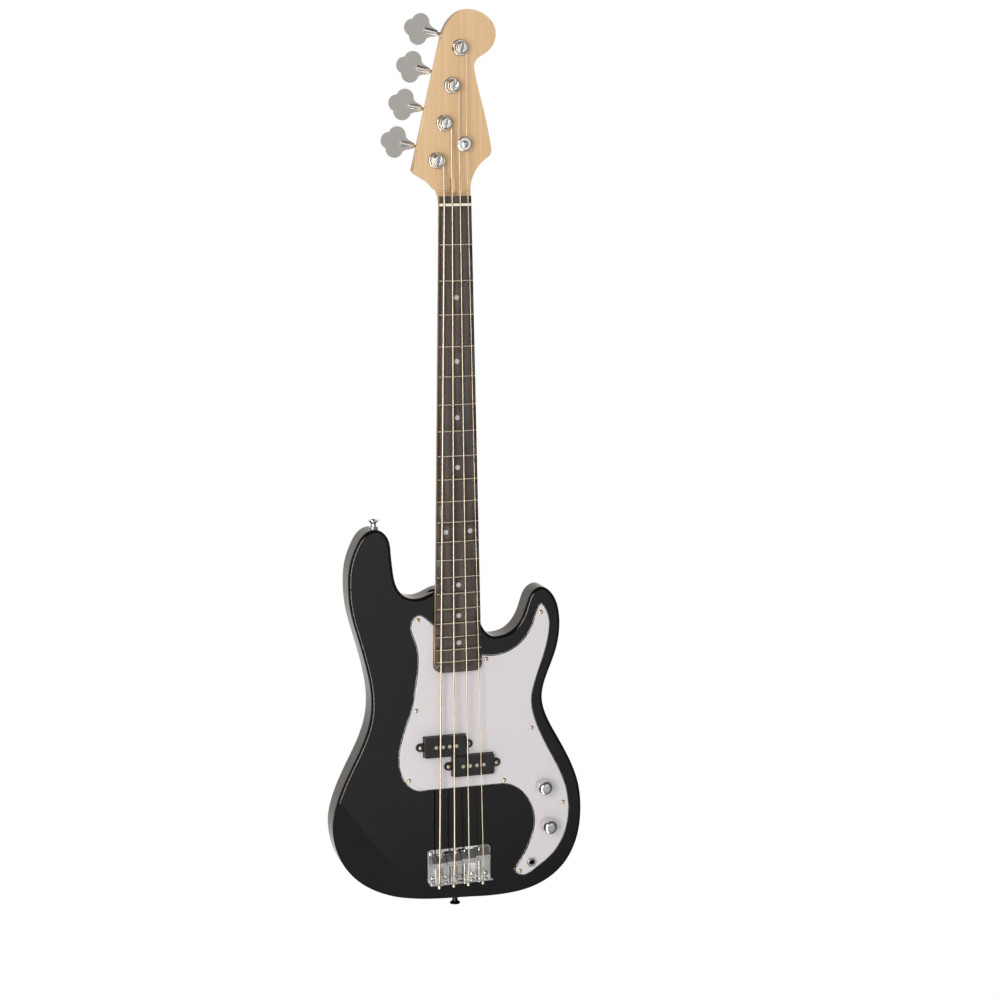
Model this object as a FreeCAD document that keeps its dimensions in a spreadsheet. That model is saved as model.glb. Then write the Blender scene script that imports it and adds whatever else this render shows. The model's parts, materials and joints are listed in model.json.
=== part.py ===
import FreeCAD, Part
import math
import os
from types import SimpleNamespace

import Sketcher
from FreeCAD import Placement, Rotation, Vector

# Electric bass guitar: four strings, twenty frets, a bolted neck and a split pickup.
# Millimetres. The guitar stands on end: +Z runs up the neck, +X is to the right seen from
# the front, and the front faces -Y. The origin is on the centre line, in the waist of the
# strap button at the end of the body, at the middle of the body's thickness.

SIZES = (
    # strings
    ("scale_length", 864.0, "nut to bridge line"),
    ("nut_string_spread", 31.7, "outer strings apart at the nut"),
    ("bridge_string_spacing", 20.2, "string to string at the bridge"),
    ("string_e_thickness", 2.65, "lowest string"),
    ("string_a_thickness", 2.1, "second string"),
    ("string_d_thickness", 1.65, "third string"),
    ("string_g_thickness", 1.15, "highest string"),
    ("ball_radius", 2.5, "ball end of a string"),
    ("ball_length", 4.0, "ball end of a string"),
    # body
    ("body_length", 510.0, "end of the body to the tip of the long horn"),
    ("body_width", 344.0, "across the lower bout"),
    ("body_thickness", 38.0, "front face to back face"),
    ("body_edge_radius", 5.0, "rounding of the front and back edges"),
    ("bridge_from_end", 59.0, "end of the body to the bridge line"),
    ("forearm_angle", 10.0, "forearm slope from the face, in degrees"),
    ("pocket_depth", 16.0, "neck pocket below the front face"),
    ("pocket_gap", 0.15, "room round the neck heel"),
    ("route_depth", 19.0, "pickup routes below the front face"),
    ("route_gap", 1.2, "room round a pickup in its route"),
    ("cavity_radius", 16.8, "control cavity round each control"),
    ("jack_cavity_radius", 12.0, "control cavity from the tone control to the jack"),
    ("cavity_depth", 33.0, "control cavity below the front face"),
    ("channel_radius", 6.0, "wire channel half width"),
    ("channel_depth", 15.0, "wire channel below the front face"),
    # neck and fingerboard
    ("board_above_body", 9.5, "fingerboard top in front of the body face"),
    ("board_thickness", 6.0, "fingerboard at its middle"),
    ("board_radius", 241.0, "curve across the fingerboard"),
    ("board_past_nut", 12.3, "fingerboard beyond the nut"),
    ("board_past_frets", 14.5, "fingerboard beyond the last fret"),
    ("board_corner", 9.0, "rounded corners at the end of the fingerboard"),
    ("nut_width", 42.0, "neck width at the nut"),
    ("board_end_width", 63.0, "neck width at the end of the fingerboard"),
    ("heel_inset", 2.0, "heel ends this far short of the fingerboard"),
    ("heel_length", 72.0, "square part of the heel"),
    ("heel_blend", 45.0, "heel blends into the neck over this length"),
    ("neck_depth_body", 16.5, "wood under the fingerboard near the body"),
    ("neck_depth_nut", 14.5, "wood under the fingerboard at the nut"),
    ("head_thickness", 14.0, "headstock, face to back"),
    ("head_start", 20.0, "headstock starts this far past the nut"),
    ("head_root_width", 46.0, "headstock where it starts"),
    ("scoop_end", 26.0, "scoop from fingerboard to headstock face ends here, from the nut"),
    ("fret_width", 2.4, "fret crown"),
    ("fret_height", 1.1, "fret crown above the fingerboard"),
    ("tang_width", 0.6, "fret tang"),
    ("tang_depth", 1.6, "fret tang below the fingerboard top"),
    ("fret_inset", 0.4, "fret ends inside the fingerboard edge"),
    ("nut_thickness", 3.2, "nut along the strings"),
    ("nut_height", 3.0, "nut above the fingerboard"),
    ("nut_seat", 2.4, "nut slot below the fingerboard top"),
    ("nut_action", 2.0, "strings above the fingerboard at the nut"),
    ("dot_radius", 3.2, "position dots"),
    ("dot_depth", 1.5, "position dots, thickness"),
    ("side_dot_radius", 1.0, "dots in the edge of the fingerboard"),
    ("rod_radius", 2.5, "truss rod"),
    ("rod_depth", 5.0, "truss rod centre under the fingerboard"),
    ("rod_gap", 0.3, "room round the truss rod"),
    ("rod_nut_radius", 4.0, "truss rod nut"),
    ("rod_nut_length", 10.0, "truss rod nut"),
    ("rod_key_width", 4.0, "hexagon in the truss rod nut, across flats"),
    ("rod_access", 35.0, "truss rod opening reaches this far past the nut"),
    # neck plate
    ("neck_plate_width", 51.0, "neck plate across"),
    ("neck_plate_length", 63.5, "neck plate along the neck"),
    ("neck_plate_thickness", 2.0, "neck plate"),
    ("neck_plate_corner", 6.0, "neck plate corners"),
    ("neck_plate_inset", 7.0, "neck screws from the edge of the plate"),
    ("neck_plate_from_heel", 1.0, "plate starts this far up from the heel end"),
    ("neck_screw_radius", 2.4, "neck screw shank"),
    ("neck_screw_length", 38.0, "neck screw under its head"),
    ("neck_screw_head", 4.4, "neck screw head radius"),
    ("neck_screw_crown", 2.2, "neck screw head height"),
    # pickguard
    ("guard_thickness", 2.4, "pickguard"),
    ("guard_gap", 0.5, "room round what passes through the pickguard"),
    ("guard_screw_radius", 1.3, "pickguard screw shank"),
    ("guard_screw_length", 12.0, "pickguard screw under its head"),
    ("guard_screw_head", 3.0, "pickguard screw head radius"),
    ("guard_screw_crown", 1.5, "pickguard screw head height"),
    # pickups
    ("pickup_from_bridge", 157.5, "bass half of the pickup to the bridge line"),
    ("pickup_step", 28.9, "treble half lies this much nearer the bridge"),
    ("pickup_shift", 19.2, "each half from the centre line"),
    ("pickup_length", 57.5, "pickup cover across the strings"),
    ("pickup_width", 28.2, "pickup cover along the strings"),
    ("pickup_top", 9.5, "pickup cover above the body face"),
    ("pickup_height", 16.0, "pickup cover, top to bottom"),
    ("pickup_wall", 1.5, "pickup cover wall"),
    ("pickup_corner", 3.0, "pickup cover corners"),
    ("ear_reach", 33.2, "pickup screws from the middle of a half"),
    ("ear_radius", 5.4, "screw ears of a pickup cover"),
    ("ear_height", 4.5, "screw ears above the body face"),
    ("pole_radius", 2.4, "pole pieces"),
    ("pole_length", 17.0, "pole pieces"),
    ("pole_above", 0.8, "pole pieces above the cover"),
    ("pole_reach", 4.75, "pole pieces either side of a string"),
    ("coil_gap", 0.6, "coil inside its cover"),
    ("pickup_screw_radius", 1.4, "pickup screw shank"),
    ("pickup_screw_length", 24.0, "pickup screw under its head"),
    ("pickup_screw_head", 2.8, "pickup screw head radius"),
    ("pickup_screw_crown", 1.5, "pickup screw head height"),
    # bridge
    ("bridge_width", 87.0, "bridge plate across"),
    ("bridge_front", 15.0, "plate ahead of the bridge line"),
    ("bridge_rear", 31.0, "plate behind the bridge line"),
    ("bridge_thickness", 2.2, "bridge plate and its rear wall"),
    ("bridge_wall_height", 12.0, "rear wall above the plate"),
    ("bridge_corner", 5.0, "front corners of the bridge plate"),
    ("groove_width", 1.6, "guide grooves in the bridge plate"),
    ("groove_depth", 0.7, "guide grooves in the bridge plate"),
    ("groove_shift", 2.7, "guide grooves to the left of each string"),
    ("bridge_screw_radius", 1.7, "bridge screw shank"),
    ("bridge_screw_length", 24.0, "bridge screw under its head"),
    ("bridge_screw_head", 3.4, "bridge screw head radius"),
    ("bridge_screw_crown", 1.7, "bridge screw head height"),
    ("bridge_screw_front", 10.2, "front screws ahead of the bridge line"),
    ("bridge_screw_rear", 24.6, "rear screws behind the bridge line"),
    ("bridge_screw_side", 39.2, "front screws from the centre line"),
    ("bridge_screw_step", 18.4, "rear screws apart"),
    ("seat_above_body", 15.2, "string seat of a saddle on the centre line, above the body face"),
    ("saddle_stagger", 1.8, "each saddle ahead of the one before it"),
    ("saddle_width", 19.6, "saddle across"),
    ("saddle_rear", 3.4, "saddle behind its string seat"),
    ("saddle_top", 3.0, "flat top ahead of the string seat"),
    ("saddle_front", 12.0, "saddle ahead of its string seat"),
    ("saddle_depth", 9.0, "saddle under its string seat"),
    ("saddle_lip", 2.5, "front edge of a saddle"),
    ("saddle_groove", 0.8, "string groove of a saddle"),
    ("height_screw_radius", 1.25, "saddle height screws"),
    ("height_screw_reach", 7.1, "height screws either side of the string"),
    ("intonation_radius", 1.25, "intonation screw"),
    ("intonation_length", 44.0, "intonation screw under its head"),
    ("intonation_head_radius", 2.1, "intonation screw head"),
    ("intonation_head_length", 2.2, "intonation screw head"),
    ("intonation_height", 6.0, "intonation screws above the bridge plate"),
    ("intonation_shift", 4.1, "intonation screws inward of the strings"),
    ("tail_height", 9.6, "string holes above the bridge plate"),
    ("thread_gap", 0.1, "room round a screw in its hole"),
    ("spring_radius", 2.0, "intonation spring at the middle of its wire"),
    ("spring_wire", 0.7, "intonation spring wire"),
    ("spring_bend", 0.8, "bends at the ends of an intonation spring"),
    # tuners
    ("tuner_first_side", 21.6, "first tuner to the left of the centre line"),
    ("tuner_first_up", 56.7, "first tuner past the nut"),
    ("tuner_spacing", 47.9, "tuner to tuner"),
    ("tuner_angle", 13.0, "tuner row leans from the neck, degrees"),
    ("tuner_plate_thickness", 2.0, "tuner base plate"),
    ("tuner_plate_half", 14.0, "half of the tuner plate, along the key"),
    ("tuner_plate_gear_end", 14.0, "tuner plate from the post towards the nut"),
    ("tuner_plate_worm_end", 24.5, "tuner plate from the post towards the tip"),
    ("tuner_ear_inner", 9.5, "bearing ears start this far from the post"),
    ("tuner_ear_thickness", 3.5, "bearing ears along the worm"),
    ("tuner_ear_half", 5.0, "half of the bearing ears across the worm"),
    ("tuner_gap", 0.2, "running clearance in the tuners"),
    ("gear_teeth", 20, "teeth of the wheel for one thread of the worm"),
    ("gear_module", 0.85, "tooth size of the wheel and worm"),
    ("gear_width", 4.0, "wheel thickness"),
    ("worm_radius", 3.5, "worm at its pitch"),
    ("worm_half", 6.4, "half of the threaded length"),
    ("shaft_radius", 2.4, "key shaft"),
    ("post_radius", 6.4, "string post"),
    ("post_above_face", 12.0, "string post above the headstock face"),
    ("post_slot_width", 2.8, "slot across the top of the post"),
    ("post_slot_depth", 5.0, "slot across the top of the post"),
    ("bushing_radius", 8.4, "bushing in the headstock"),
    ("bushing_depth", 9.0, "bushing in the headstock"),
    ("bushing_flange_radius", 10.8, "flange of the bushing"),
    ("bushing_flange", 2.4, "flange of the bushing"),
    ("key_start", 28.5, "key starts this far from the post"),
    ("ferrule_radius", 4.4, "round root of the key"),
    ("ferrule_length", 17.0, "round root of the key"),
    ("key_thickness", 2.6, "flat of the key"),
    ("key_root_half", 5.2, "half of the flat at its narrow end"),
    ("key_root_out", 3.0, "narrow end of the flat from the start of the key"),
    ("key_lobe_radius", 11.2, "lobes of the key"),
    ("key_lobe_side", 8.7, "side lobes from the shaft line"),
    ("key_lobe_out", 23.0, "side lobes from the start of the key"),
    ("key_tip_out", 32.0, "end lobe from the start of the key"),
    ("tuner_screw_radius", 1.2, "tuner screw shank"),
    ("tuner_screw_length", 9.0, "tuner screw under its head"),
    ("tuner_screw_head", 2.4, "tuner screw head radius"),
    ("tuner_screw_crown", 1.3, "tuner screw head height"),
    ("tuner_screw_side", 11.0, "tuner screws either side of the post"),
    ("tuner_screw_edge", 3.5, "tuner screws from the ends of the plate"),
    ("winding_gap", 0.5, "between turns of string on a post"),
    ("winding_clear", 0.3, "between the turns of string and the post"),
    ("winding_lift", 2.0, "first turn of string above its bushing"),
    ("tree_side", 13.0, "string tree right of the centre line"),
    ("tree_up", 77.3, "string tree past the nut"),
    ("tree_radius", 9.2, "string tree disc"),
    ("tree_disc", 2.2, "string tree disc"),
    ("tree_press", 1.2, "strings below the disc of the string tree"),
    ("tree_collar_radius", 2.0, "string tree collar"),
    ("tree_collar_height", 8.6, "string tree collar"),
    ("tree_screw_radius", 1.2, "string tree screw shank"),
    ("tree_screw_length", 16.0, "string tree screw under its head"),
    ("tree_screw_head", 4.2, "string tree screw head radius"),
    ("tree_screw_crown", 1.8, "string tree screw head height"),
    # controls
    ("knob_radius", 10.0, "control knobs"),
    ("knob_height", 15.0, "control knobs"),
    ("knob_dome", 6.0, "rounding of the knob tops"),
    ("knob_taper", 0.3, "knob tops narrower than their skirts"),
    ("knob_above_guard", 3.4, "knobs above the pickguard"),
    ("control_shaft_radius", 3.0, "control shafts"),
    ("control_bushing_radius", 3.9, "threaded bushing of a control"),
    ("control_housing_radius", 12.0, "housing of a control"),
    ("control_housing_depth", 9.5, "housing of a control"),
    ("control_nut_flats", 11.0, "control nuts, across flats"),
    ("control_nut_height", 2.2, "control nuts"),
    ("jack_nut_flats", 12.7, "jack nut, across flats"),
    ("jack_bore_radius", 3.2, "jack bore"),
    ("jack_barrel_radius", 4.7, "threaded barrel of the jack"),
    ("jack_frame_depth", 22.0, "jack frame below the pickguard"),
    ("jack_frame_half", 6.5, "half of the jack frame"),
    ("capacitor_radius", 3.2, "tone capacitor"),
    ("capacitor_length", 12.0, "tone capacitor"),
    ("wire_radius", 0.8, "hookup wire"),
    ("lug_reach", 3.0, "solder lugs beyond a control's housing"),
    ("lug_step", 5.0, "solder lugs apart"),
    ("lug_level", 1.5, "solder lugs below the top of the housing"),
    ("lug_thickness", 0.8, "solder lugs"),
    # strap buttons
    ("button_base_radius", 6.0, "strap button base"),
    ("button_base", 2.0, "strap button base"),
    ("button_seat", 2.6, "strap buttons let into the body"),
    ("button_waist_radius", 3.6, "strap button waist"),
    ("button_waist", 4.0, "strap button waist"),
    ("button_head_radius", 7.0, "strap button head"),
    ("button_head", 4.5, "strap button head"),
    ("button_screw_radius", 1.8, "strap button screw shank"),
    ("button_screw_length", 26.0, "strap button screw under its head"),
    ("button_screw_head", 3.2, "strap button screw head radius"),
    ("button_screw_crown", 1.6, "strap button screw head height"),
)

doc = FreeCAD.newDocument("BassGuitar")
sheet = doc.addObject("Spreadsheet::Sheet", "Sizes")
for row, (alias, number, note) in enumerate(SIZES, start=1):
    sheet.set("A%d" % row, note)
    sheet.set("B%d" % row, str(number))
    sheet.setAlias("B%d" % row, alias)
doc.recompute()
mm = SimpleNamespace(**{alias: float(sheet.get(alias)) for alias, _, _ in SIZES})

# Datum planes and lines, as the text of expressions on the sheet
FACE = "(-Sizes.body_thickness / 2)"
BACK = "(Sizes.body_thickness / 2)"
BODY_END = "(Sizes.button_base + Sizes.button_waist / 2)"
BRIDGE = "(%s + Sizes.bridge_from_end)" % BODY_END
NUT = "(%s + Sizes.scale_length)" % BRIDGE
BOARD_TOP = "(%s - Sizes.board_above_body)" % FACE
BOARD_UNDER = "(%s + Sizes.board_thickness)" % BOARD_TOP
NECK_BACK = "(%s + Sizes.pocket_depth)" % FACE
HEAD_FACE = "(%s - Sizes.head_thickness)" % NECK_BACK
GUARD_TOP = "(%s - Sizes.guard_thickness)" % FACE
FRET_COUNT = 20
LAST_FRET = "(%s - Sizes.scale_length * (1 - 2 ^ (-%d / 12)))" % (NUT, FRET_COUNT)
BOARD_END = "(%s - Sizes.board_past_frets)" % LAST_FRET
PLATE_TOP = "(%s - Sizes.bridge_thickness)" % FACE


def measure(text):
    """The number that an expression on the sheet gives now."""
    return float(sheet.evalExpression(text))


face = measure(FACE)
back = measure(BACK)
body_end = measure(BODY_END)
bridge_line = measure(BRIDGE)
nut_line = measure(NUT)
board_top = measure(BOARD_TOP)
board_under = measure(BOARD_UNDER)
neck_back = measure(NECK_BACK)
head_face = measure(HEAD_FACE)
guard_top = measure(GUARD_TOP)
plate_top = measure(PLATE_TOP)

FRONT = Vector(0, -1, 0)
REAR = Vector(0, 1, 0)
UP = Vector(0, 0, 1)
DOWN = Vector(0, 0, -1)
ACROSS = Vector(1, 0, 0)
STRINGS = ("e", "a", "d", "g")
string_thickness = [getattr(mm, "string_%s_thickness" % name) for name in STRINGS]

parts = {}


# General helpers


def keep(name, obj):
    """Name a finished sub-part; its label becomes its file's name."""
    obj.Label = name
    parts[name] = obj
    return obj


def feature(name, shape):
    """A sub-part whose shape comes from Part's own functions."""
    obj = doc.addObject("Part::Feature", name)
    obj.Shape = shape
    return obj


def facing(point, direction):
    """Placement that carries local +Z onto a direction at a point."""
    return Placement(Vector(point), Rotation(UP, Vector(direction)))


def copies(shape, placements):
    """A compound of one shape repeated at several placements."""
    result = []
    for placement in placements:
        piece = shape.copy()
        piece.Placement = placement.multiply(piece.Placement)
        result.append(piece)
    return Part.makeCompound(result)


def rod(radius, start, end):
    """A solid cylinder from one point to another."""
    start = Vector(start)
    run = Vector(end) - start
    return Part.makeCylinder(radius, run.Length, start, run)


def block(low, high):
    """A box between two corners."""
    low = Vector(low)
    size = Vector(high) - low
    return Part.makeBox(size.x, size.y, size.z, low)


def cut_object(name, base, tool_shape):
    """Part::Cut of a document object with holes worked out from the sheet."""
    tool = feature(name + "_openings", tool_shape)
    cut = doc.addObject("Part::Cut", name)
    cut.Base = base
    cut.Tool = tool
    return cut


def new_sketch(body, name, role="XZ_Plane", lift="0"):
    """A sketch on one of the body's own origin planes, lifted along the plane's normal."""
    sketch = body.newObject("Sketcher::SketchObject", name)
    plane = next(item for item in body.Origin.OriginFeatures if item.Role == role)
    sketch.AttachmentSupport = (plane, [""])
    sketch.MapMode = "FlatFace"
    sketch.setExpression("AttachmentOffset.Base.z", lift)
    return sketch


def bind_point(sketch, geometry, position, x_text, y_text):
    """Hold one sketch point at two distances read from the sheet."""
    for kind, axis, text in (("DistanceX", -2, x_text), ("DistanceY", -1, y_text)):
        number = measure(text)
        if text == "0":
            sketch.addConstraint(Sketcher.Constraint("PointOnObject", geometry, position, axis))
        else:
            index = sketch.addConstraint(Sketcher.Constraint(kind, -1, 1, geometry, position, number))
            sketch.setExpression("Constraints[%d]" % index, text)


def bound_polygon(sketch, corners):
    """A closed polygon whose corners are bound to the sheet."""
    points = [Vector(measure(x), measure(y), 0) for x, y in corners]
    count = len(points)
    first = sketch.GeometryCount
    for i in range(count):
        sketch.addGeometry(Part.LineSegment(points[i], points[(i + 1) % count]), False)
    for i in range(count):
        following = first + (i + 1) % count
        sketch.addConstraint(Sketcher.Constraint("Coincident", first + i, 2, following, 1))
    for i, (x_text, y_text) in enumerate(corners):
        bind_point(sketch, first + i, 1, x_text, y_text)


def padded(body, sketch, name, length_text, reverse=False, middle=False):
    """Pad a sketch by a length bound to the sheet."""
    step = body.newObject("PartDesign::Pad", name)
    step.Profile = sketch
    step.setExpression("Length", length_text)
    step.Reversed = reverse
    if middle:
        step.Midplane = True
    return step


def turned(name, corners):
    """A PartDesign body turned about its own Z from a profile of (radius, height) texts."""
    body = doc.addObject("PartDesign::Body", name)
    sketch = new_sketch(body, name + "_profile")
    bound_polygon(sketch, corners)
    turn = body.newObject("PartDesign::Revolution", name + "_turned")
    turn.Profile = sketch
    turn.ReferenceAxis = (sketch, ["V_Axis"])
    turn.Angle = 360.0
    return body


def rounded(body, base, name, edges, radius_text):
    """PartDesign fillet of the edges that a test picks."""
    doc.recompute()
    picked = ["Edge%d" % (i + 1) for i, edge in enumerate(base.Shape.Edges) if edges(edge)]
    step = body.newObject("PartDesign::Fillet", name)
    step.Base = (base, picked)
    step.setExpression("Radius", radius_text)
    return step


def screw(radius, length, head_radius, head_height, tip=2.0):
    """A cross-head screw: dome above z = 0, shank and point below."""
    ball = (head_radius ** 2 + head_height ** 2) / (2 * head_height)
    dome = Part.makeSphere(ball, Vector(0, 0, head_height - ball))
    dome = dome.common(Part.makeCylinder(head_radius + 1, head_height))
    arm = head_radius * 0.55
    slot = head_radius * 0.14
    deep = head_height * 0.5
    for half_x, half_y in ((arm, slot), (slot, arm)):
        low = (-half_x, -half_y, head_height - deep)
        dome = dome.cut(block(low, (half_x, half_y, head_height + 1)))
    shank = Part.makeCylinder(radius, length - tip, Vector(0, 0, -(length - tip)))
    point = Part.makeCone(radius * 0.15, radius, tip, Vector(0, 0, -length))
    return dome.fuse([shank, point]).removeSplitter()


def stadium(start, end, radius, low, high):
    """A slot-shaped solid between two (x, z) points, from one depth to another along Y."""
    start_point = Vector(start[0], low, start[1])
    end_point = Vector(end[0], low, end[1])
    height = high - low
    run = end_point - start_point
    side = run.cross(REAR)
    side.normalize()
    side = side * radius
    corners = [start_point + side, end_point + side, end_point - side, start_point - side]
    middle = Part.Face(Part.makePolygon(corners + corners[:1])).extrude(Vector(0, height, 0))
    ends = [Part.makeCylinder(radius, height, point, REAR) for point in (start_point, end_point)]
    return middle.fuse(ends).removeSplitter()


def rounded_path(points, radii):
    """Straight runs joined by tangent arcs of the given radii at the inner points."""
    points = [Vector(point) for point in points]
    edges = []
    start = points[0]
    for i in range(1, len(points) - 1):
        before = (points[i - 1] - points[i]).normalize()
        after = (points[i + 1] - points[i]).normalize()
        half_turn = (math.pi - before.getAngle(after)) / 2
        reach = radii[i - 1] * math.tan(half_turn)
        arc_start = points[i] + before * reach
        arc_end = points[i] + after * reach
        middle_way = (before + after).normalize()
        centre_distance = radii[i - 1] / math.cos(half_turn)
        arc_middle = points[i] + middle_way * (centre_distance - radii[i - 1])
        edges.append(Part.LineSegment(start, arc_start).toShape())
        edges.append(Part.Arc(arc_start, arc_middle, arc_end).toShape())
        start = arc_end
    edges.append(Part.LineSegment(start, points[-1]).toShape())
    return edges


def tube(edges, radius):
    """A solid round tube along joined edges."""
    path = Part.Wire(edges)
    first = edges[0]
    start = first.valueAt(first.FirstParameter)
    along = first.tangentAt(first.FirstParameter)
    section = Part.Wire(Part.Circle(start, along, radius).toShape())
    return path.makePipeShell([section], True, False)


def least_gap(edges, radius):
    """Least gap between turns of a wound tube, measured on points along its line."""
    points = []
    for edge in edges:
        points += edge.discretize(Number=9)[:-1]
    travelled = [0.0]
    for before, after in zip(points[:-1], points[1:]):
        travelled.append(travelled[-1] + (after - before).Length)
    least = math.inf
    for i, point in enumerate(points):
        for k in range(i + 1, len(points)):
            if travelled[k] - travelled[i] > 8 * radius:
                least = min(least, (points[k] - point).Length)
    return least - 2 * radius


def smooth(points, closed=False):
    """A curve through points in the (x, z) plane at y = 0 of a sketch."""
    curve = Part.BSplineCurve()
    curve.interpolate(Points=[Vector(x, y, 0) for x, y in points], PeriodicFlag=closed)
    return curve


# Outlines

# Body outline as (right of the centre line, up from the end of the body), clockwise seen
# from the front, starting at the end; its own length and width are those it is drawn at
BODY_OUTLINE = (
    (26, 0.6), (-30, 3.6), (-88.4, 13.2), (-131.3, 34.4), (-158, 66.8), (-168.4, 98), (-170, 122),
    (-162.3, 154.7), (-146, 191), (-128, 227), (-117.3, 262), (-116.2, 291), (-122.3, 328.7),
    (-132.6, 367.8), (-142, 404.8), (-144.6, 436), (-142.3, 464), (-133, 490), (-121, 506),
    (-106, 510), (-91.9, 499.9), (-87, 477.8), (-84.7, 454.8), (-79.2, 432), (-70.4, 421),
    (-60, 416.2), (-49, 416), (-38, 419.5), (-27, 424.3), (-13, 426), (3, 421.5), (17, 411),
    (27.5, 391), (36, 372), (43, 362.3), (50.5, 357.9), (58.5, 357.6), (71, 360.4), (84, 370.2),
    (92.5, 384), (98.5, 401), (105.8, 414.4), (118, 420), (133.1, 410.1), (141.8, 389.7),
    (143.7, 365.1), (138.7, 334.4), (125.9, 300.7), (118.8, 270), (125, 243.9), (139.7, 215),
    (158.4, 179.2), (170.6, 144.7), (174, 112.1), (167.7, 66.4), (149.5, 33.5), (111.9, 8.2),
    (66, 0),
)
DRAWN_LENGTH = max(up for across, up in BODY_OUTLINE)
DRAWN_WIDTH = max(across for across, up in BODY_OUTLINE) - min(across for across, up in BODY_OUTLINE)

# Line on the face where the forearm slope starts, and the middles of the controls
FOREARM_LINE = ((-158.7, 149.8), (-62.5, 18.9))
VOLUME_PLACE = (117.5, 148.6)
TONE_PLACE = (124.2, 93.5)
JACK_PLACE = (101.0, 43.2)

# Pickguard outline in the same way: a curve from the neck's left round to the straight
# bottom, and another from there round the control wing back to the neck's right
GUARD_LEFT = (
    (-31, 380), (-41, 389), (-53, 395), (-62, 386), (-57, 357), (-54, 330), (-57.5, 300),
    (-63, 270), (-73, 241), (-81, 209), (-78, 180), (-66, 162), (-44, 156.5),
)
GUARD_RIGHT = (
    (56, 156), (80, 149.5), (98, 130), (106, 100), (98, 69), (83, 43), (78.5, 32.5), (86, 26),
    (108, 33), (132, 51), (150, 80), (155.5, 111), (149, 152), (129, 195), (109, 238),
    (103, 268), (110, 300), (123, 338), (128, 364), (122, 393), (116, 399.5), (110.5, 392),
    (104, 373), (90, 351), (64, 336), (31, 337),
)

# Headstock outline as (right of the centre line, past the nut): the lower right curve, the
# right edge with the notch and the round end, and the lower left curve
HEAD_RIGHT_CURVE = ((23.4, 26.6), (25.4, 34.1), (28.8, 41.6), (33.7, 49), (40.9, 56.4), (49.3, 62.6))
HEAD_END = (
    (51.2, 69.5), (47, 94), (42, 116.5), (36.1, 139), (32, 155), (29.4, 168.8), (28.9, 175),
    (32, 181.8), (39, 187.2), (47.5, 192.8), (53.8, 200.5), (57.2, 209), (57, 220), (52.5, 229.5),
    (43, 238), (29.3, 243.6), (15, 243.6), (2.1, 236.4), (-8, 223.5), (-13.9, 206),
)
HEAD_LEFT_CURVE = (
    (-52.2, 45), (-51, 41.8), (-46.8, 38.8), (-39.8, 34.7), (-33.5, 30.8), (-29, 27), (-25.6, 23.3),
)


def on_body(point):
    """A drawn body point at the body's real size, as (x, z)."""
    across, upward = point
    wide = mm.body_width / DRAWN_WIDTH
    long = mm.body_length / DRAWN_LENGTH
    return (across * wide, body_end + upward * long)


volume_spot = on_body(VOLUME_PLACE)
tone_spot = on_body(TONE_PLACE)
jack_spot = on_body(JACK_PLACE)
GUARD_SCREWS = (
    (-53.5, 388.3), (115.4, 387.3), (39.5, 329.3), (-57.0, 266.8), (102.3, 230.0),
    (63.5, 161.3), (-67.5, 172.3), (146.4, 122.7), (85.4, 32.0),
)
guard_screw_spots = [on_body(spot) for spot in GUARD_SCREWS]


# Neck and fingerboard stations


def fret_line(number):
    """Height of a fret; fret 0 is the nut."""
    return nut_line - mm.scale_length * (1 - 2 ** (-number / 12))


board_end = fret_line(FRET_COUNT) - mm.board_past_frets
board_start = nut_line + mm.board_past_nut
heel_end = board_end + mm.heel_inset


def half_width(height):
    """Half of the neck's width at a height."""
    share = (nut_line - height) / (nut_line - board_end)
    return (mm.nut_width + (mm.board_end_width - mm.nut_width) * share) / 2


def crown(across):
    """How far the curved fingerboard falls away at a distance from its middle."""
    return mm.board_radius - math.sqrt(mm.board_radius ** 2 - across ** 2)


def heel_face(low, high, gap, corner, depth):
    """Flat outline of the neck's end with rounded corners, at one depth."""
    left_low = -half_width(low) - gap
    left_high = -half_width(high) - gap
    bottom = low - gap
    lean = (left_high - left_low) / (high - bottom)
    corner_left = left_low + lean * corner
    points = {
        "side_top": Vector(left_high, depth, high),
        "side_end": Vector(corner_left, depth, bottom + corner),
        "bottom": Vector(left_low + corner, depth, bottom),
    }
    bow = corner * (1 - math.sqrt(0.5))
    middle = Vector(left_low + bow, depth, bottom + bow)

    def mirrored(point):
        return Vector(-point.x, point.y, point.z)

    edges = [
        Part.LineSegment(points["side_top"], points["side_end"]).toShape(),
        Part.Arc(points["side_end"], middle, points["bottom"]).toShape(),
        Part.LineSegment(points["bottom"], mirrored(points["bottom"])).toShape(),
        Part.Arc(mirrored(points["bottom"]), mirrored(middle), mirrored(points["side_end"])).toShape(),
        Part.LineSegment(mirrored(points["side_end"]), mirrored(points["side_top"])).toShape(),
        Part.LineSegment(mirrored(points["side_top"]), points["side_top"]).toShape(),
    ]
    return Part.Face(Part.Wire(edges))


# Strings at the nut and at the bridge


def nut_side(i):
    """A string's place across the nut."""
    return (i - 1.5) * mm.nut_string_spread / 3


def bridge_side(i):
    """A string's place across the bridge."""
    return (i - 1.5) * mm.bridge_string_spacing


def saddle_line(i):
    """Height of a saddle's string seat along the body."""
    return bridge_line + (i - 2) * mm.saddle_stagger


def seat_depth(i):
    """Depth of a saddle's string seat, following the fingerboard's curve."""
    return face - mm.seat_above_body + crown(bridge_side(i))


def intonation_side(i):
    """The intonation screw lies on the inner side of its string."""
    return bridge_side(i) - math.copysign(mm.intonation_shift, bridge_side(i))


def pickup_middle(side):
    """Middle of a pickup half as (x, z): side -1 is the bass half."""
    drop = mm.pickup_step if side > 0 else 0
    return (side * mm.pickup_shift, bridge_line + mm.pickup_from_bridge - drop)


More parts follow.
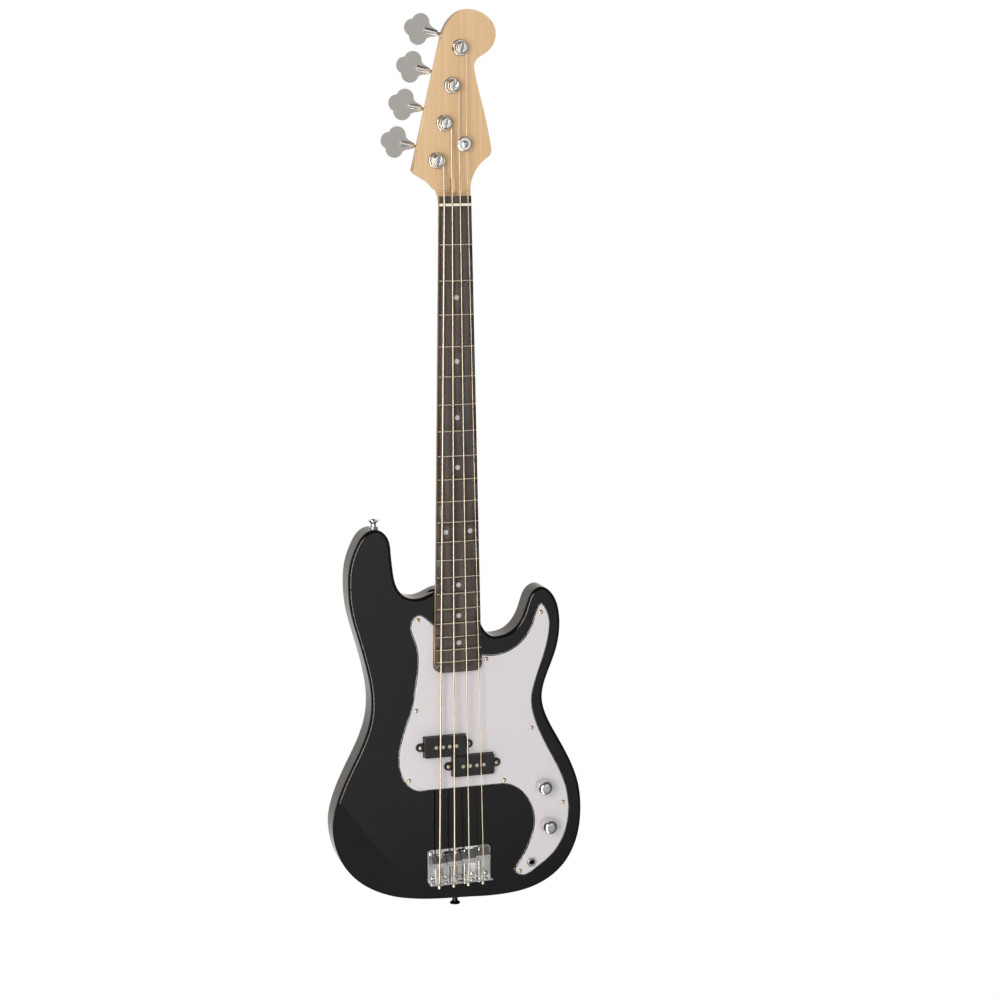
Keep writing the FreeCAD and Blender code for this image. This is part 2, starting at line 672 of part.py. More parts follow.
def string_side_at(i, height):
    """A string's place across at a height between bridge and nut."""
    share = (height - saddle_line(i)) / (nut_line - saddle_line(i))
    return bridge_side(i) + (nut_side(i) - bridge_side(i)) * share


# Tuner stations

lean = math.radians(mm.tuner_angle)
row_way = Vector(math.sin(lean), 0, math.cos(lean))
key_way = Vector(-math.cos(lean), 0, math.sin(lean))


def post_spot(i):
    """Middle of a string post as (x, z)."""
    base = Vector(-mm.tuner_first_side, 0, nut_line + mm.tuner_first_up)
    spot = base + row_way * (mm.tuner_spacing * i)
    return (spot.x, spot.z)


def tuner_frame(i):
    """Local frame of a tuner: X along the key, Z out of the headstock's face, on its back."""
    x, z = post_spot(i)
    turn = Rotation(key_way, -row_way, FRONT, "XYZ")
    return Placement(Vector(x, neck_back, z), turn)


gear_radius = mm.gear_module * mm.gear_teeth / 2
worm_side = -(gear_radius + mm.worm_radius)
worm_tip = mm.worm_radius + 0.8 * mm.gear_module
worm_root = mm.worm_radius - 1.05 * mm.gear_module
gear_level = -(mm.tuner_plate_thickness + 0.5 + worm_tip)


# Screws and where they go

def screw_for(name, tip=2.0):
    """The screw whose four sizes on the sheet start with a name."""
    sizes = [getattr(mm, "%s_screw_%s" % (name, part)) for part in ("radius", "length", "head", "crown")]
    return screw(*sizes, tip)


guard_screw = screw_for("guard")
bridge_screw = screw_for("bridge")
neck_screw = screw_for("neck", 4.0)
pickup_screw = screw_for("pickup")
tuner_screw = screw_for("tuner")
tree_screw = screw_for("tree")
button_screw = screw_for("button", 3.0)

guard_screw_places = [facing((x, guard_top, z), FRONT) for x, z in guard_screw_spots]
bridge_screw_places = []
for side in (-1, 1):
    spot = (side * mm.bridge_screw_side, plate_top, bridge_line + mm.bridge_screw_front)
    bridge_screw_places.append(facing(spot, FRONT))
for step in range(-2, 3):
    spot = (step * mm.bridge_screw_step, plate_top, bridge_line - mm.bridge_screw_rear)
    bridge_screw_places.append(facing(spot, FRONT))
neck_screw_places = []
plate_low = heel_end + mm.neck_plate_from_heel
for side in (-1, 1):
    for level in (mm.neck_plate_inset, mm.neck_plate_length - mm.neck_plate_inset):
        across = side * (mm.neck_plate_width / 2 - mm.neck_plate_inset)
        spot = (across, back + mm.neck_plate_thickness, plate_low + level)
        neck_screw_places.append(facing(spot, REAR))
pickup_screw_places = []
for side in (-1, 1):
    x, z = pickup_middle(side)
    for ear in (-1, 1):
        spot = (x + ear * mm.ear_reach, face - mm.ear_height, z)
        pickup_screw_places.append(facing(spot, FRONT))
tuner_screw_local = []
for across in (-mm.tuner_screw_side, mm.tuner_screw_side):
    for along in (mm.tuner_plate_gear_end - mm.tuner_screw_edge,
                  mm.tuner_screw_edge - mm.tuner_plate_worm_end):
        tuner_screw_local.append(Vector(across, along, -mm.tuner_plate_thickness))
tuner_screw_places = []
for i in range(4):
    for spot in tuner_screw_local:
        tuner_screw_places.append(facing(tuner_frame(i).multVec(spot), REAR))
tree_spot = Vector(mm.tree_side, head_face, nut_line + mm.tree_up)
tree_screw_place = facing(tree_spot + FRONT * (mm.tree_collar_height + mm.tree_disc), FRONT)
horn_tip = on_body((-106, DRAWN_LENGTH))
button_places = [
    facing((0, 0, body_end), DOWN),
    facing((horn_tip[0], 0, horn_tip[1]), UP),
]
button_reach = mm.button_base + mm.button_waist + mm.button_head
button_screw_places = []
for placement in button_places:
    seat = placement.multVec(Vector(0, 0, button_reach))
    button_screw_places.append(Placement(seat, placement.Rotation))


def screw_holes(radius, length, placements):
    """Holes for the shanks of screws, a little wider and deeper than the screws."""
    hole = Part.makeCylinder(radius + mm.thread_gap, length + 0.5, Vector(0, 0, -length - 0.5))
    return copies(hole, placements).Solids


# Body and neck


def make_body():
    """Solid body with its pocket, routes, cavity, channel and screw holes."""
    body = doc.addObject("PartDesign::Body", "body_wood")
    sketch = new_sketch(body, "body_outline", lift="-Sizes.body_thickness / 2")
    outline = [on_body(point) for point in BODY_OUTLINE]
    sketch.addGeometry(smooth(outline, closed=True), False)
    slab = padded(body, sketch, "body_slab", "Sizes.body_thickness")
    edge_radius = "Sizes.body_edge_radius * Sizes.body_width / %r" % DRAWN_WIDTH
    rounded(body, slab, "body_edges", lambda edge: edge.BoundBox.YLength < 1, edge_radius)
    doc.recompute()
    cuts = []
    # The forearm slope is a plane that leaves the face at a line
    slope_start = Vector(*on_body(FOREARM_LINE[0]), 0)
    slope_end = Vector(*on_body(FOREARM_LINE[1]), 0)
    run = (slope_end - slope_start).normalize()
    outward = Vector(run.y, -run.x, 0)
    if outward.x > 0:
        outward = outward * -1
    far = 300.0
    start = Vector(slope_start.x, face, slope_start.y) - Vector(run.x, 0, run.y) * far
    way = Vector(run.x, 0, run.y) * (2 * far)
    wide = Vector(outward.x, 0, outward.y) * far
    skin = 5.0
    drop = far * math.tan(math.radians(mm.forearm_angle))
    corners = [start, start + FRONT * skin, start + wide + FRONT * skin, start + wide + REAR * drop]
    cuts.append(Part.Face(Part.makePolygon(corners + corners[:1])).extrude(way))
    horn = body_end + mm.body_length + 10
    pocket = heel_face(heel_end, horn, mm.pocket_gap, mm.board_corner, face - 1)
    cuts.append(pocket.extrude(Vector(0, mm.pocket_depth + 1, 0)))
    for side in (-1, 1):
        x, z = pickup_middle(side)
        half_x = mm.pickup_length / 2 + mm.route_gap
        half_z = mm.pickup_width / 2 + mm.route_gap
        route_end = (x + half_x, face + mm.route_depth, z + half_z)
        cuts.append(block((x - half_x, face - 1, z - half_z), route_end))
    floor = face + mm.cavity_depth
    cuts.append(stadium(volume_spot, tone_spot, mm.cavity_radius, face - 1, floor))
    cuts.append(stadium(tone_spot, jack_spot, mm.jack_cavity_radius, face - 1, floor))
    treble = pickup_middle(1)
    cuts.append(stadium(treble, volume_spot, mm.channel_radius, face - 1, face + mm.channel_depth))
    cuts += screw_holes(mm.guard_screw_radius, mm.guard_screw_length, guard_screw_places)
    cuts += screw_holes(mm.bridge_screw_radius, mm.bridge_screw_length, bridge_screw_places)
    cuts += screw_holes(mm.neck_screw_radius, mm.neck_screw_length, neck_screw_places)
    cuts += screw_holes(mm.pickup_screw_radius, mm.pickup_screw_length, pickup_screw_places)
    cuts += screw_holes(mm.button_screw_radius, mm.button_screw_length, button_screw_places)
    seat = Part.makeCylinder(mm.button_base_radius + mm.thread_gap, button_reach, Vector(0, 0, -mm.button_seat))
    cuts += copies(seat, button_places).Solids
    keep("body", cut_object("body", body, Part.makeCompound(cuts)))


def neck_section(height, half, top, depth, squareness):
    """One cross section of the neck: flat top, rounded below."""
    count = 16
    points = []
    for step in range(count + 1):
        angle = math.pi * step / count
        across = math.cos(angle)
        fall = math.sin(angle) if 0 < step < count else 0.0
        reach = (abs(across) ** squareness + fall ** squareness) ** (-1 / squareness)
        points.append(Vector(half * across * reach, top + depth * fall * reach, height))
    curve = Part.BSplineCurve()
    curve.interpolate(points)
    top_line = Part.LineSegment(points[-1], points[0])
    return Part.Wire([curve.toShape(), top_line.toShape()])


def head_point(point):
    """A drawn headstock point; beyond the first tuner it follows the tuner spacing."""
    drawn_spacing = 47.9
    drawn_first = 56.7
    across, upward = point
    if upward > drawn_first:
        stretch = mm.tuner_spacing / drawn_spacing
        upward = mm.tuner_first_up + (upward - drawn_first) * stretch
    else:
        upward = upward * mm.tuner_first_up / drawn_first
    return Vector(across, head_face, nut_line + upward)


def head_curve(points):
    curve = Part.BSplineCurve()
    curve.interpolate([head_point(point) for point in points])
    return curve.toShape()


def head_line(start, end):
    return Part.LineSegment(head_point(start), head_point(end)).toShape()


def make_neck():
    """Neck with heel, rounded back and headstock, channelled for the truss rod."""
    heel_thickness = neck_back - board_under
    heel_top = heel_end + mm.heel_length
    shaft_low = heel_top + mm.heel_blend
    heel = heel_face(heel_end, heel_top, 0, mm.board_corner, board_under)
    heel = heel.extrude(Vector(0, heel_thickness, 0))
    head_low = nut_line + mm.head_start
    half_head = mm.head_root_width / 2
    swell = 0.6
    swell_half = mm.nut_width / 2 + (half_head - mm.nut_width / 2) * 0.2
    swell_depth = mm.neck_depth_nut + (heel_thickness - mm.neck_depth_nut) * swell
    stations = (
        (heel_top, half_width(heel_top), heel_thickness, 5.0),
        (shaft_low, half_width(shaft_low), mm.neck_depth_body, 2.5),
        (nut_line, mm.nut_width / 2, mm.neck_depth_nut, 2.3),
        (nut_line + mm.head_start * swell, swell_half, swell_depth, 3.6),
        (head_low, half_head, heel_thickness, 5.0),
    )
    lengths = []
    for low, high in zip(stations[:-1], stations[1:]):
        pair = []
        for height, half, depth, squareness in (low, high):
            pair.append(neck_section(height, half, board_under, depth, squareness))
        lengths.append(Part.makeLoft(pair, True, True))
    left_foot = Vector(-half_head, head_face, head_low)
    right_foot = Vector(half_head, head_face, head_low)
    edges = [
        Part.LineSegment(left_foot, right_foot).toShape(),
        Part.LineSegment(right_foot, head_point(HEAD_RIGHT_CURVE[0])).toShape(),
        head_curve(HEAD_RIGHT_CURVE),
        head_line(HEAD_RIGHT_CURVE[-1], HEAD_END[0]),
        head_curve(HEAD_END),
        head_line(HEAD_END[-1], HEAD_LEFT_CURVE[0]),
        head_curve(HEAD_LEFT_CURVE),
        Part.LineSegment(head_point(HEAD_LEFT_CURVE[-1]), left_foot).toShape(),
    ]
    head = Part.Face(Part.Wire(edges)).extrude(Vector(0, mm.head_thickness, 0))
    neck = heel.fuse(lengths + [head]).removeSplitter()
    # The scoop between fingerboard and headstock face, hollow as seen from the side
    wide = mm.nut_width
    scoop_start = Vector(-wide, board_under, board_start)
    scoop_stop = Vector(-wide, head_face, nut_line + mm.scoop_end)
    middle = (scoop_start + scoop_stop) * 0.5 + Vector(0, 1.2, -1.2)
    ahead = board_under - 5
    edges = [
        Part.Arc(scoop_start, middle, scoop_stop).toShape(),
        Part.LineSegment(scoop_stop, Vector(-wide, ahead, scoop_stop.z)).toShape(),
        Part.LineSegment(Vector(-wide, ahead, scoop_stop.z), Vector(-wide, ahead, board_start)).toShape(),
        Part.LineSegment(Vector(-wide, ahead, board_start), scoop_start).toShape(),
    ]
    cuts = [Part.Face(Part.Wire(edges)).extrude(Vector(2 * wide, 0, 0))]
    rod_line = board_under + mm.rod_depth
    channel = mm.rod_radius + mm.rod_gap
    cuts.append(block((-channel, board_under - 1, heel_end + mm.board_corner),
                      (channel, rod_line, nut_line)))
    cuts.append(rod(channel, (0, rod_line, heel_end + mm.board_corner), (0, rod_line, nut_line)))
    cuts.append(rod(mm.rod_nut_radius + mm.rod_gap, (0, rod_line, nut_line),
                    (0, rod_line, nut_line + mm.rod_access)))
    bores = [tuner_frame(i) for i in range(4)]
    bore = Part.makeCylinder(mm.bushing_radius, mm.head_thickness + 2, Vector(0, 0, -1))
    cuts += copies(bore, bores).Solids
    cuts += screw_holes(mm.neck_screw_radius, mm.neck_screw_length, neck_screw_places)
    cuts += screw_holes(mm.tuner_screw_radius, mm.tuner_screw_length, tuner_screw_places)
    cuts += screw_holes(mm.tree_screw_radius, mm.tree_screw_length, [tree_screw_place])
    wood = feature("neck_wood", neck)
    keep("neck", cut_object("neck", wood, Part.makeCompound(cuts)))


def board_slab():
    """Fingerboard blank with its curved top and rounded end."""
    flat = heel_face(board_end, board_start, 0, mm.board_corner, board_top)
    slab = flat.extrude(Vector(0, mm.board_thickness, 0))
    axis = Vector(0, board_top + mm.board_radius, board_end - 1)
    curve = Part.makeCylinder(mm.board_radius, board_start - board_end + 2, axis, UP)
    return slab.common(curve)


def fret_shape(number, width, height, tang_half, tang_depth, inset):
    """A fret turned about the axis of the fingerboard's curve."""
    level = fret_line(number)
    top = board_top
    half = width / 2
    low = top + tang_depth
    foot = [Vector(0, top, level + half), Vector(0, top, level + tang_half), Vector(0, low, level + tang_half),
            Vector(0, low, level - tang_half), Vector(0, top, level - tang_half), Vector(0, top, level - half)]
    profile = [Part.Arc(foot[-1], Vector(0, top - height, level), foot[0]).toShape()]
    for before, after in zip(foot[:-1], foot[1:]):
        profile.append(Part.LineSegment(before, after).toShape())
    face_of_profile = Part.Face(Part.Wire(profile))
    reach = half_width(level) - inset
    angle = math.degrees(math.asin(reach / mm.board_radius))
    axis = Vector(0, board_top + mm.board_radius, level)
    face_of_profile.rotate(axis, UP, -angle)
    return face_of_profile.revolve(axis, UP, 2 * angle)


def dot_spots():
    """Face dots as (x, z), at the third, fifth, seventh, ninth, twelfth frets and above."""
    spots = []
    for number in (3, 5, 7, 9, 12, 15, 17, 19):
        level = (fret_line(number - 1) + fret_line(number)) / 2
        if number == 12:
            side = half_width(level) * 0.58
            spots += [(-side, level), (side, level)]
        else:
            spots.append((0, level))
    return spots


def make_fingerboard():
    """Fingerboard with slots for the frets and the nut and recesses for the dots."""
    slots = []
    for number in range(1, FRET_COUNT + 1):
        level = fret_line(number)
        half = mm.tang_width / 2
        low = (-mm.board_end_width, board_top - 1, level - half)
        high = (mm.board_end_width, board_top + mm.tang_depth + crown(half_width(level)), level + half)
        slots.append(block(low, high))
    nut_low = (-mm.nut_width, board_top - 1, nut_line)
    nut_high = (mm.nut_width, board_top + mm.nut_seat, nut_line + mm.nut_thickness)
    slots.append(block(nut_low, nut_high))
    slots += dot_solids()
    blank = feature("fingerboard_wood", board_slab())
    keep("fingerboard", cut_object("fingerboard", blank, Part.makeCompound(slots)))


def dot_solids():
    """Face dots flush with the curved top, and small dots in the bass edge."""
    solids = []
    curve_axis = Vector(0, board_top + mm.board_radius, board_end)
    curve = Part.makeCylinder(mm.board_radius, board_start - board_end, curve_axis, UP)
    for x, z in dot_spots():
        floor = board_top + crown(abs(x)) + mm.dot_depth
        pin = Part.makeCylinder(mm.dot_radius, mm.dot_depth + 3, Vector(x, floor, z), FRONT)
        solids.append(pin.common(curve))
    for number in (3, 5, 7, 9, 12, 15, 17, 19):
        level = (fret_line(number - 1) + fret_line(number)) / 2
        edge = Vector(-half_width(level), board_top + crown(half_width(level)) + 2.2, level)
        solids.append(rod(mm.side_dot_radius, edge, edge + ACROSS * 2))
    return solids


def make_frets_nut_dots():
    """Frets, nut and position dots."""
    frets = []
    for number in range(1, FRET_COUNT + 1):
        frets.append(fret_shape(number, mm.fret_width, mm.fret_height, mm.tang_width / 2,
                                mm.tang_depth, mm.fret_inset))
    keep("frets", feature("frets", Part.makeCompound(frets)))
    keep("position_dots", feature("position_dots", Part.makeCompound(dot_solids())))
    body = doc.addObject("PartDesign::Body", "nut_blank")
    sketch = new_sketch(body, "nut_outline", role="XY_Plane", lift=NUT)
    half = "Sizes.nut_width / 2"
    low = "%s + Sizes.nut_seat" % BOARD_TOP
    high = "%s - Sizes.nut_height + 1.2" % BOARD_TOP
    peak = "%s - Sizes.nut_height" % BOARD_TOP
    inner = "Sizes.nut_string_spread / 2 - 2"
    right = [(half, low), (half, high), (inner, peak)]
    left = [("-(%s)" % across, level) for across, level in reversed(right)]
    bound_polygon(sketch, right + left)
    padded(body, sketch, "nut_block", "Sizes.nut_thickness")
    slots = []
    for i in range(4):
        radius = string_thickness[i] / 2 + mm.thread_gap
        level = board_top + crown(nut_side(i)) - mm.nut_action - string_thickness[i] / 2
        start = Vector(nut_side(i), level, nut_line - 1)
        end = Vector(nut_side(i), level, nut_line + mm.nut_thickness + 1)
        slots.append(rod(radius, start, end))
        slots.append(block((start.x - radius, level - 6, start.z), (start.x + radius, level, end.z)))
        # the slot falls away towards the headstock as the string does
        fall_end = (start.x, level + 1.4, nut_line + mm.nut_thickness + 3)
        slots.append(rod(radius, (start.x, level, nut_line), fall_end))
    keep("nut", cut_object("nut", body, Part.makeCompound(slots)))


def make_truss_rod():
    """Truss rod in its channel and the nut that tightens it."""
    rod_line = board_under + mm.rod_depth
    nut_end = nut_line + mm.rod_nut_length + 1
    bar_start = (0, rod_line, heel_end + mm.board_corner + 1)
    bar = rod(mm.rod_radius, bar_start, (0, rod_line, nut_line + mm.rod_nut_length - 3))
    keep("truss_rod", feature("truss_rod", bar))
    barrel = doc.addObject("Part::Cylinder", "rod_nut_barrel")
    barrel.setExpression("Radius", "Sizes.rod_nut_radius")
    barrel.setExpression("Height", "Sizes.rod_nut_length")
    barrel.setExpression("Placement.Base.y", "%s + Sizes.rod_depth" % BOARD_UNDER)
    barrel.setExpression("Placement.Base.z", "%s + 1" % NUT)
    bore = rod(mm.rod_radius + mm.thread_gap, (0, rod_line, nut_line), (0, rod_line, nut_end - 3.5))
    key = doc.addObject("Part::Prism", "rod_nut_key")
    key.Polygon = 6
    key.setExpression("Circumradius", "Sizes.rod_key_width / sqrt(3)")
    key.Height = 4
    key.Placement = Placement(Vector(0, rod_line, nut_end - 3), Rotation())
    doc.recompute()
    openings = Part.makeCompound([bore, key.Shape])
    keep("truss_rod_nut", cut_object("truss_rod_nut", barrel, openings))


def make_neck_plate():
    """Plate and four long screws that clamp the neck in its pocket."""
    body = doc.addObject("PartDesign::Body", "neck_plate_blank")
    sketch = new_sketch(body, "neck_plate_outline", lift="-%s" % BACK)
    half = "Sizes.neck_plate_width / 2"
    low = "%s + Sizes.heel_inset + Sizes.neck_plate_from_heel" % BOARD_END
    high = "%s + Sizes.neck_plate_length" % low
    bound_polygon(sketch, [("-%s" % half, low), (half, low), (half, high), ("-%s" % half, high)])
    slab = padded(body, sketch, "neck_plate_slab", "Sizes.neck_plate_thickness", reverse=True)
    rounded(body, slab, "neck_plate_corners", lambda edge: edge.BoundBox.YLength > 1, "Sizes.neck_plate_corner")
    holes = screw_holes(mm.neck_screw_radius, mm.neck_screw_length, neck_screw_places)
    keep("neck_plate", cut_object("neck_plate", body, Part.makeCompound(holes)))
    keep("neck_screws", feature("neck_screws", copies(neck_screw, neck_screw_places)))


# Pickguard, pickups and controls


def cover_outline(gap):
    """Slab outlines of both pickup covers with their ears, grown by a gap."""
    solids = []
    for side in (-1, 1):
        x, z = pickup_middle(side)
        half_x = mm.pickup_length / 2 + gap
        half_z = mm.pickup_width / 2 + gap
        slab = block((x - half_x, guard_top - 1, z - half_z), (x + half_x, face + 1, z + half_z))
        ear_ends = ((x - mm.ear_reach, z), (x + mm.ear_reach, z))
        solids.append(slab.fuse(stadium(*ear_ends, mm.ear_radius + gap, guard_top - 1, face + 1)))
    return solids


def make_pickguard():
    """One sheet over the pickup routes and the control cavity."""
    body = doc.addObject("PartDesign::Body", "pickguard_sheet")
    sketch = new_sketch(body, "pickguard_outline", lift="Sizes.body_thickness / 2")
    left = [on_body(point) for point in GUARD_LEFT]
    right = [on_body(point) for point in GUARD_RIGHT]
    sketch.addGeometry(smooth(left), False)
    sketch.addGeometry(Part.LineSegment(Vector(*left[-1], 0), Vector(*right[0], 0)), False)
    sketch.addGeometry(smooth(right), False)
    sketch.addGeometry(Part.LineSegment(Vector(*right[-1], 0), Vector(*left[0], 0)), False)
    for i in range(4):
        sketch.addConstraint(Sketcher.Constraint("Coincident", i, 2, (i + 1) % 4, 1))
    padded(body, sketch, "pickguard_slab", "Sizes.guard_thickness")
    neck_slot = heel_face(heel_end, nut_line, mm.guard_gap, mm.board_corner, guard_top - 1)
    cuts = [neck_slot.extrude(Vector(0, mm.guard_thickness + 2, 0))]
    cuts += cover_outline(mm.guard_gap)
    for x, z in (volume_spot, tone_spot):
        cuts.append(rod(mm.control_bushing_radius + mm.thread_gap, (x, guard_top - 1, z), (x, face + 1, z)))
    x, z = jack_spot
    cuts.append(rod(mm.jack_barrel_radius + mm.thread_gap, (x, guard_top - 1, z), (x, face + 1, z)))
    cuts += screw_holes(mm.guard_screw_radius, mm.guard_screw_length, guard_screw_places)
    keep("pickguard", cut_object("pickguard", body, Part.makeCompound(cuts)))
    keep("pickguard_screws", feature("pickguard_screws", copies(guard_screw, guard_screw_places)))


def pole_spots(side):
    """Pole pieces of a pickup half: two for each of its strings, as (x, z)."""
    _, z = pickup_middle(side)
    pair = (0, 1) if side < 0 else (2, 3)
    spots = []
    for i in pair:
        middle = string_side_at(i, z)
        spots += [(middle - mm.pole_reach, z), (middle + mm.pole_reach, z)]
    return spots


def make_pickups():
    """Split pickup: covers, coils, pole pieces, foam and screws of both halves."""
    cover_top = face - mm.pickup_top
    cover_end = cover_top + mm.pickup_height
    pole_top = cover_top - mm.pole_above
    covers = []
    coils = []
    poles = []
    foams = []
    ear_floor = face - mm.ear_height
    for side in (-1, 1):
        x, z = pickup_middle(side)
        half_x = mm.pickup_length / 2
        half_z = mm.pickup_width / 2
        shell = block((x - half_x, cover_top, z - half_z), (x + half_x, cover_end, z + half_z))
        upright = [edge for edge in shell.Edges if edge.BoundBox.YLength > 1]
        shell = shell.makeFillet(mm.pickup_corner, upright)
        rim = [edge for edge in shell.Edges if edge.BoundBox.YMax < cover_top + 0.01]
        shell = shell.makeFillet(mm.pickup_wall * 0.6, rim)
        ears = stadium((x - mm.ear_reach, z), (x + mm.ear_reach, z), mm.ear_radius, ear_floor, face - 0.5)
        shell = shell.fuse(ears)
        wall = mm.pickup_wall
        hollow = block((x - half_x + wall, cover_top + wall, z - half_z + wall),
                       (x + half_x - wall, cover_end + 1, z + half_z - wall))
        upright = [edge for edge in hollow.Edges if edge.BoundBox.YLength > 1]
        hollow = hollow.makeFillet(mm.pickup_corner - wall * 0.8, upright)
        shell = shell.cut(hollow)
        pole_holes = []
        for px, pz in pole_spots(side):
            pole_end = (px, pole_top + mm.pole_length + 1, pz)
            pole_holes.append(rod(mm.pole_radius + mm.thread_gap, (px, cover_top - 2, pz), pole_end))
        holes = screw_holes(mm.pickup_screw_radius, mm.pickup_screw_length, pickup_screw_places)
        covers.append(shell.cut(pole_holes + holes))
        inner = wall + mm.coil_gap
        coil = block((x - half_x + inner, cover_top + wall, z - half_z + inner),
                     (x + half_x - inner, cover_end, z + half_z - inner))
        upright = [edge for edge in coil.Edges if edge.BoundBox.YLength > 1]
        coils.append(coil.makeFillet(mm.pickup_corner, upright).cut(pole_holes))
        for px, pz in pole_spots(side):
            poles.append(rod(mm.pole_radius, (px, pole_top, pz), (px, pole_top + mm.pole_length, pz)))
        foam_top = max(cover_end, pole_top + mm.pole_length)
        foam_end = (x + half_x, face + mm.route_depth, z + half_z)
        foams.append(block((x - half_x, foam_top, z - half_z), foam_end))
    keep("pickup_covers", feature("pickup_covers", Part.makeCompound(covers)))
    keep("pickup_coils", feature("pickup_coils", Part.makeCompound(coils)))
    keep("pickup_pole_pieces", feature("pickup_pole_pieces", Part.makeCompound(poles)))
    keep("pickup_foam", feature("pickup_foam", Part.makeCompound(foams)))
    keep("pickup_screws", feature("pickup_screws", copies(pickup_screw, pickup_screw_places)))


def make_controls():
    """Two controls with knobs, the output jack, nuts, capacitor and wires."""
    under = face
    housings = []
    for x, z in (volume_spot, tone_spot):
        can = rod(mm.control_housing_radius, (x, under, z), (x, under + mm.control_housing_depth, z))
        neck = rod(mm.control_bushing_radius, (x, under, z), (x, guard_top - mm.control_nut_height - 0.6, z))
        bore = rod(mm.control_shaft_radius + mm.thread_gap, (x, guard_top - 9, z), (x, under + 5, z))
        lugs = []
        lug_top = under + mm.lug_level
        for step in (-1, 0, 1):
            middle = z + step * mm.lug_step
            low = (x - mm.control_housing_radius - mm.lug_reach, lug_top, middle - 1.2)
            lugs.append(block(low, (x, lug_top + mm.lug_thickness, middle + 1.2)))
        housings.append(can.fuse([neck] + lugs).cut(bore))
    keep("potentiometers", feature("potentiometers", Part.makeCompound(housings)))
    hexagon = doc.addObject("Part::Prism", "control_nut_hexagon")
    hexagon.Polygon = 6
    hexagon.setExpression("Circumradius", "Sizes.control_nut_flats / sqrt(3)")
    hexagon.setExpression("Height", "Sizes.control_nut_height")
    jack_hexagon = doc.addObject("Part::Prism", "jack_nut_hexagon")
    jack_hexagon.Polygon = 6
    jack_hexagon.setExpression("Circumradius", "Sizes.jack_nut_flats / sqrt(3)")
    jack_hexagon.setExpression("Height", "Sizes.control_nut_height")
    doc.recompute()
    nuts = []
    for spot, prism, bore in ((volume_spot, hexagon.Shape, mm.control_bushing_radius),
                              (tone_spot, hexagon.Shape, mm.control_bushing_radius),
                              (jack_spot, jack_hexagon.Shape, mm.jack_barrel_radius)):
        hole = Part.makeCylinder(bore + mm.thread_gap, 10, Vector(0, 0, -1))
        ring = prism.cut(hole)
        ring.Placement = facing((spot[0], guard_top, spot[1]), FRONT)
        nuts.append(ring)
    keep("control_nuts", feature("control_nuts", Part.makeCompound(nuts)))
    knob_low = guard_top - mm.knob_above_guard

    def on_knob_top(edge):
        return edge.BoundBox.ZMin > mm.knob_height - 0.01

    for name, spot in (("volume", volume_spot), ("tone", tone_spot)):
        x, z = spot
        shaft_end = knob_low - mm.knob_height * 0.6
        shaft = rod(mm.control_shaft_radius, (x, shaft_end, z), (x, under + 4.5, z))
        keep(name + "_shaft", feature(name + "_shaft", shaft))
        knob = turned(name + "_knob_blank", [
            ("0", "0"), ("Sizes.knob_radius", "0"),
            ("Sizes.knob_radius - Sizes.knob_taper", "Sizes.knob_height"), ("0", "Sizes.knob_height")])
        rounded(knob, knob.Group[-1], name + "_knob_dome", on_knob_top, "Sizes.knob_dome")
        knob.Placement = facing((x, knob_low, z), FRONT)
        bore = rod(mm.control_shaft_radius + mm.thread_gap / 2, (x, shaft_end - 0.1, z), (x, under, z))
        keep(name + "_knob", cut_object(name + "_knob", knob, bore))
    make_jack_and_wires()


def make_jack_and_wires():
    """Output jack under the pickguard, the tone capacitor and the wires."""
    x, z = jack_spot
    depth = face + mm.jack_frame_depth
    barrel = rod(mm.jack_barrel_radius, (x, guard_top - mm.control_nut_height - 0.6, z), (x, face + 1, z))
    half = mm.jack_frame_half
    frame = block((x - half, face, z - half), (x + half, depth, z + half))
    tag = block((x - half - 4, face + 6, z - 1.5), (x - half + 1, face + 6.8, z + 1.5))
    bore = rod(mm.jack_bore_radius, (x, guard_top - 6, z), (x, depth - 2, z))
    window_top = z - mm.jack_bore_radius - 1
    window = block((x - half + 1.5, face + 4, z - half - 1), (x + half - 1.5, depth - 3, window_top))
    keep("output_jack", feature("output_jack", barrel.fuse([frame, tag]).cut(bore).cut(window)))
    tone_x, tone_z = tone_spot
    seat = face + mm.control_housing_depth + mm.capacitor_radius
    start = Vector(tone_x - mm.capacitor_length / 2, seat, tone_z)
    capacitor = rod(mm.capacitor_radius, start, start + ACROSS * mm.capacitor_length)
    keep("tone_capacitor", feature("tone_capacitor", capacitor))
    wire = mm.wire_radius
    lug_side = mm.control_housing_radius + mm.lug_reach - wire
    lug_top = face + mm.lug_level + mm.lug_thickness + wire
    dip = lug_top + 4
    volume_x, volume_z = volume_spot
    treble_x, treble_z = pickup_middle(1)
    fall = (volume_z - treble_z) / (volume_x - treble_x)

    def in_channel(across, depth_below):
        return Vector(across, face + depth_below, treble_z + fall * (across - treble_x))

    cover_side = treble_x + mm.pickup_length / 2
    lug_line = volume_x - lug_side
    tone_line = tone_x - lug_side
    tag_side = x - half - 2.5
    leads = [
        [in_channel(cover_side + wire, 4), in_channel((cover_side + lug_line) / 2, 9),
         in_channel(lug_line - 1, 7), Vector(lug_line, lug_top, volume_z)],
        [Vector(lug_line, lug_top, volume_z - mm.lug_step), Vector(lug_line + 1, dip, volume_z - 17),
         Vector(tone_line + 1, dip, tone_z + 17), Vector(tone_line, lug_top, tone_z + mm.lug_step)],
        [Vector(tone_line, lug_top, tone_z - mm.lug_step), Vector(tone_line + 1, dip, tone_z - 17),
         Vector(tag_side + 1.5, face + 11, z + 10), Vector(tag_side, face + 6.8 + wire, z + 1)],
    ]
    solids = [tube(rounded_path(points, [3.0, 3.0]), wire) for points in leads]
    keep("wiring", feature("wiring", Part.makeCompound(solids)))


# Bridge


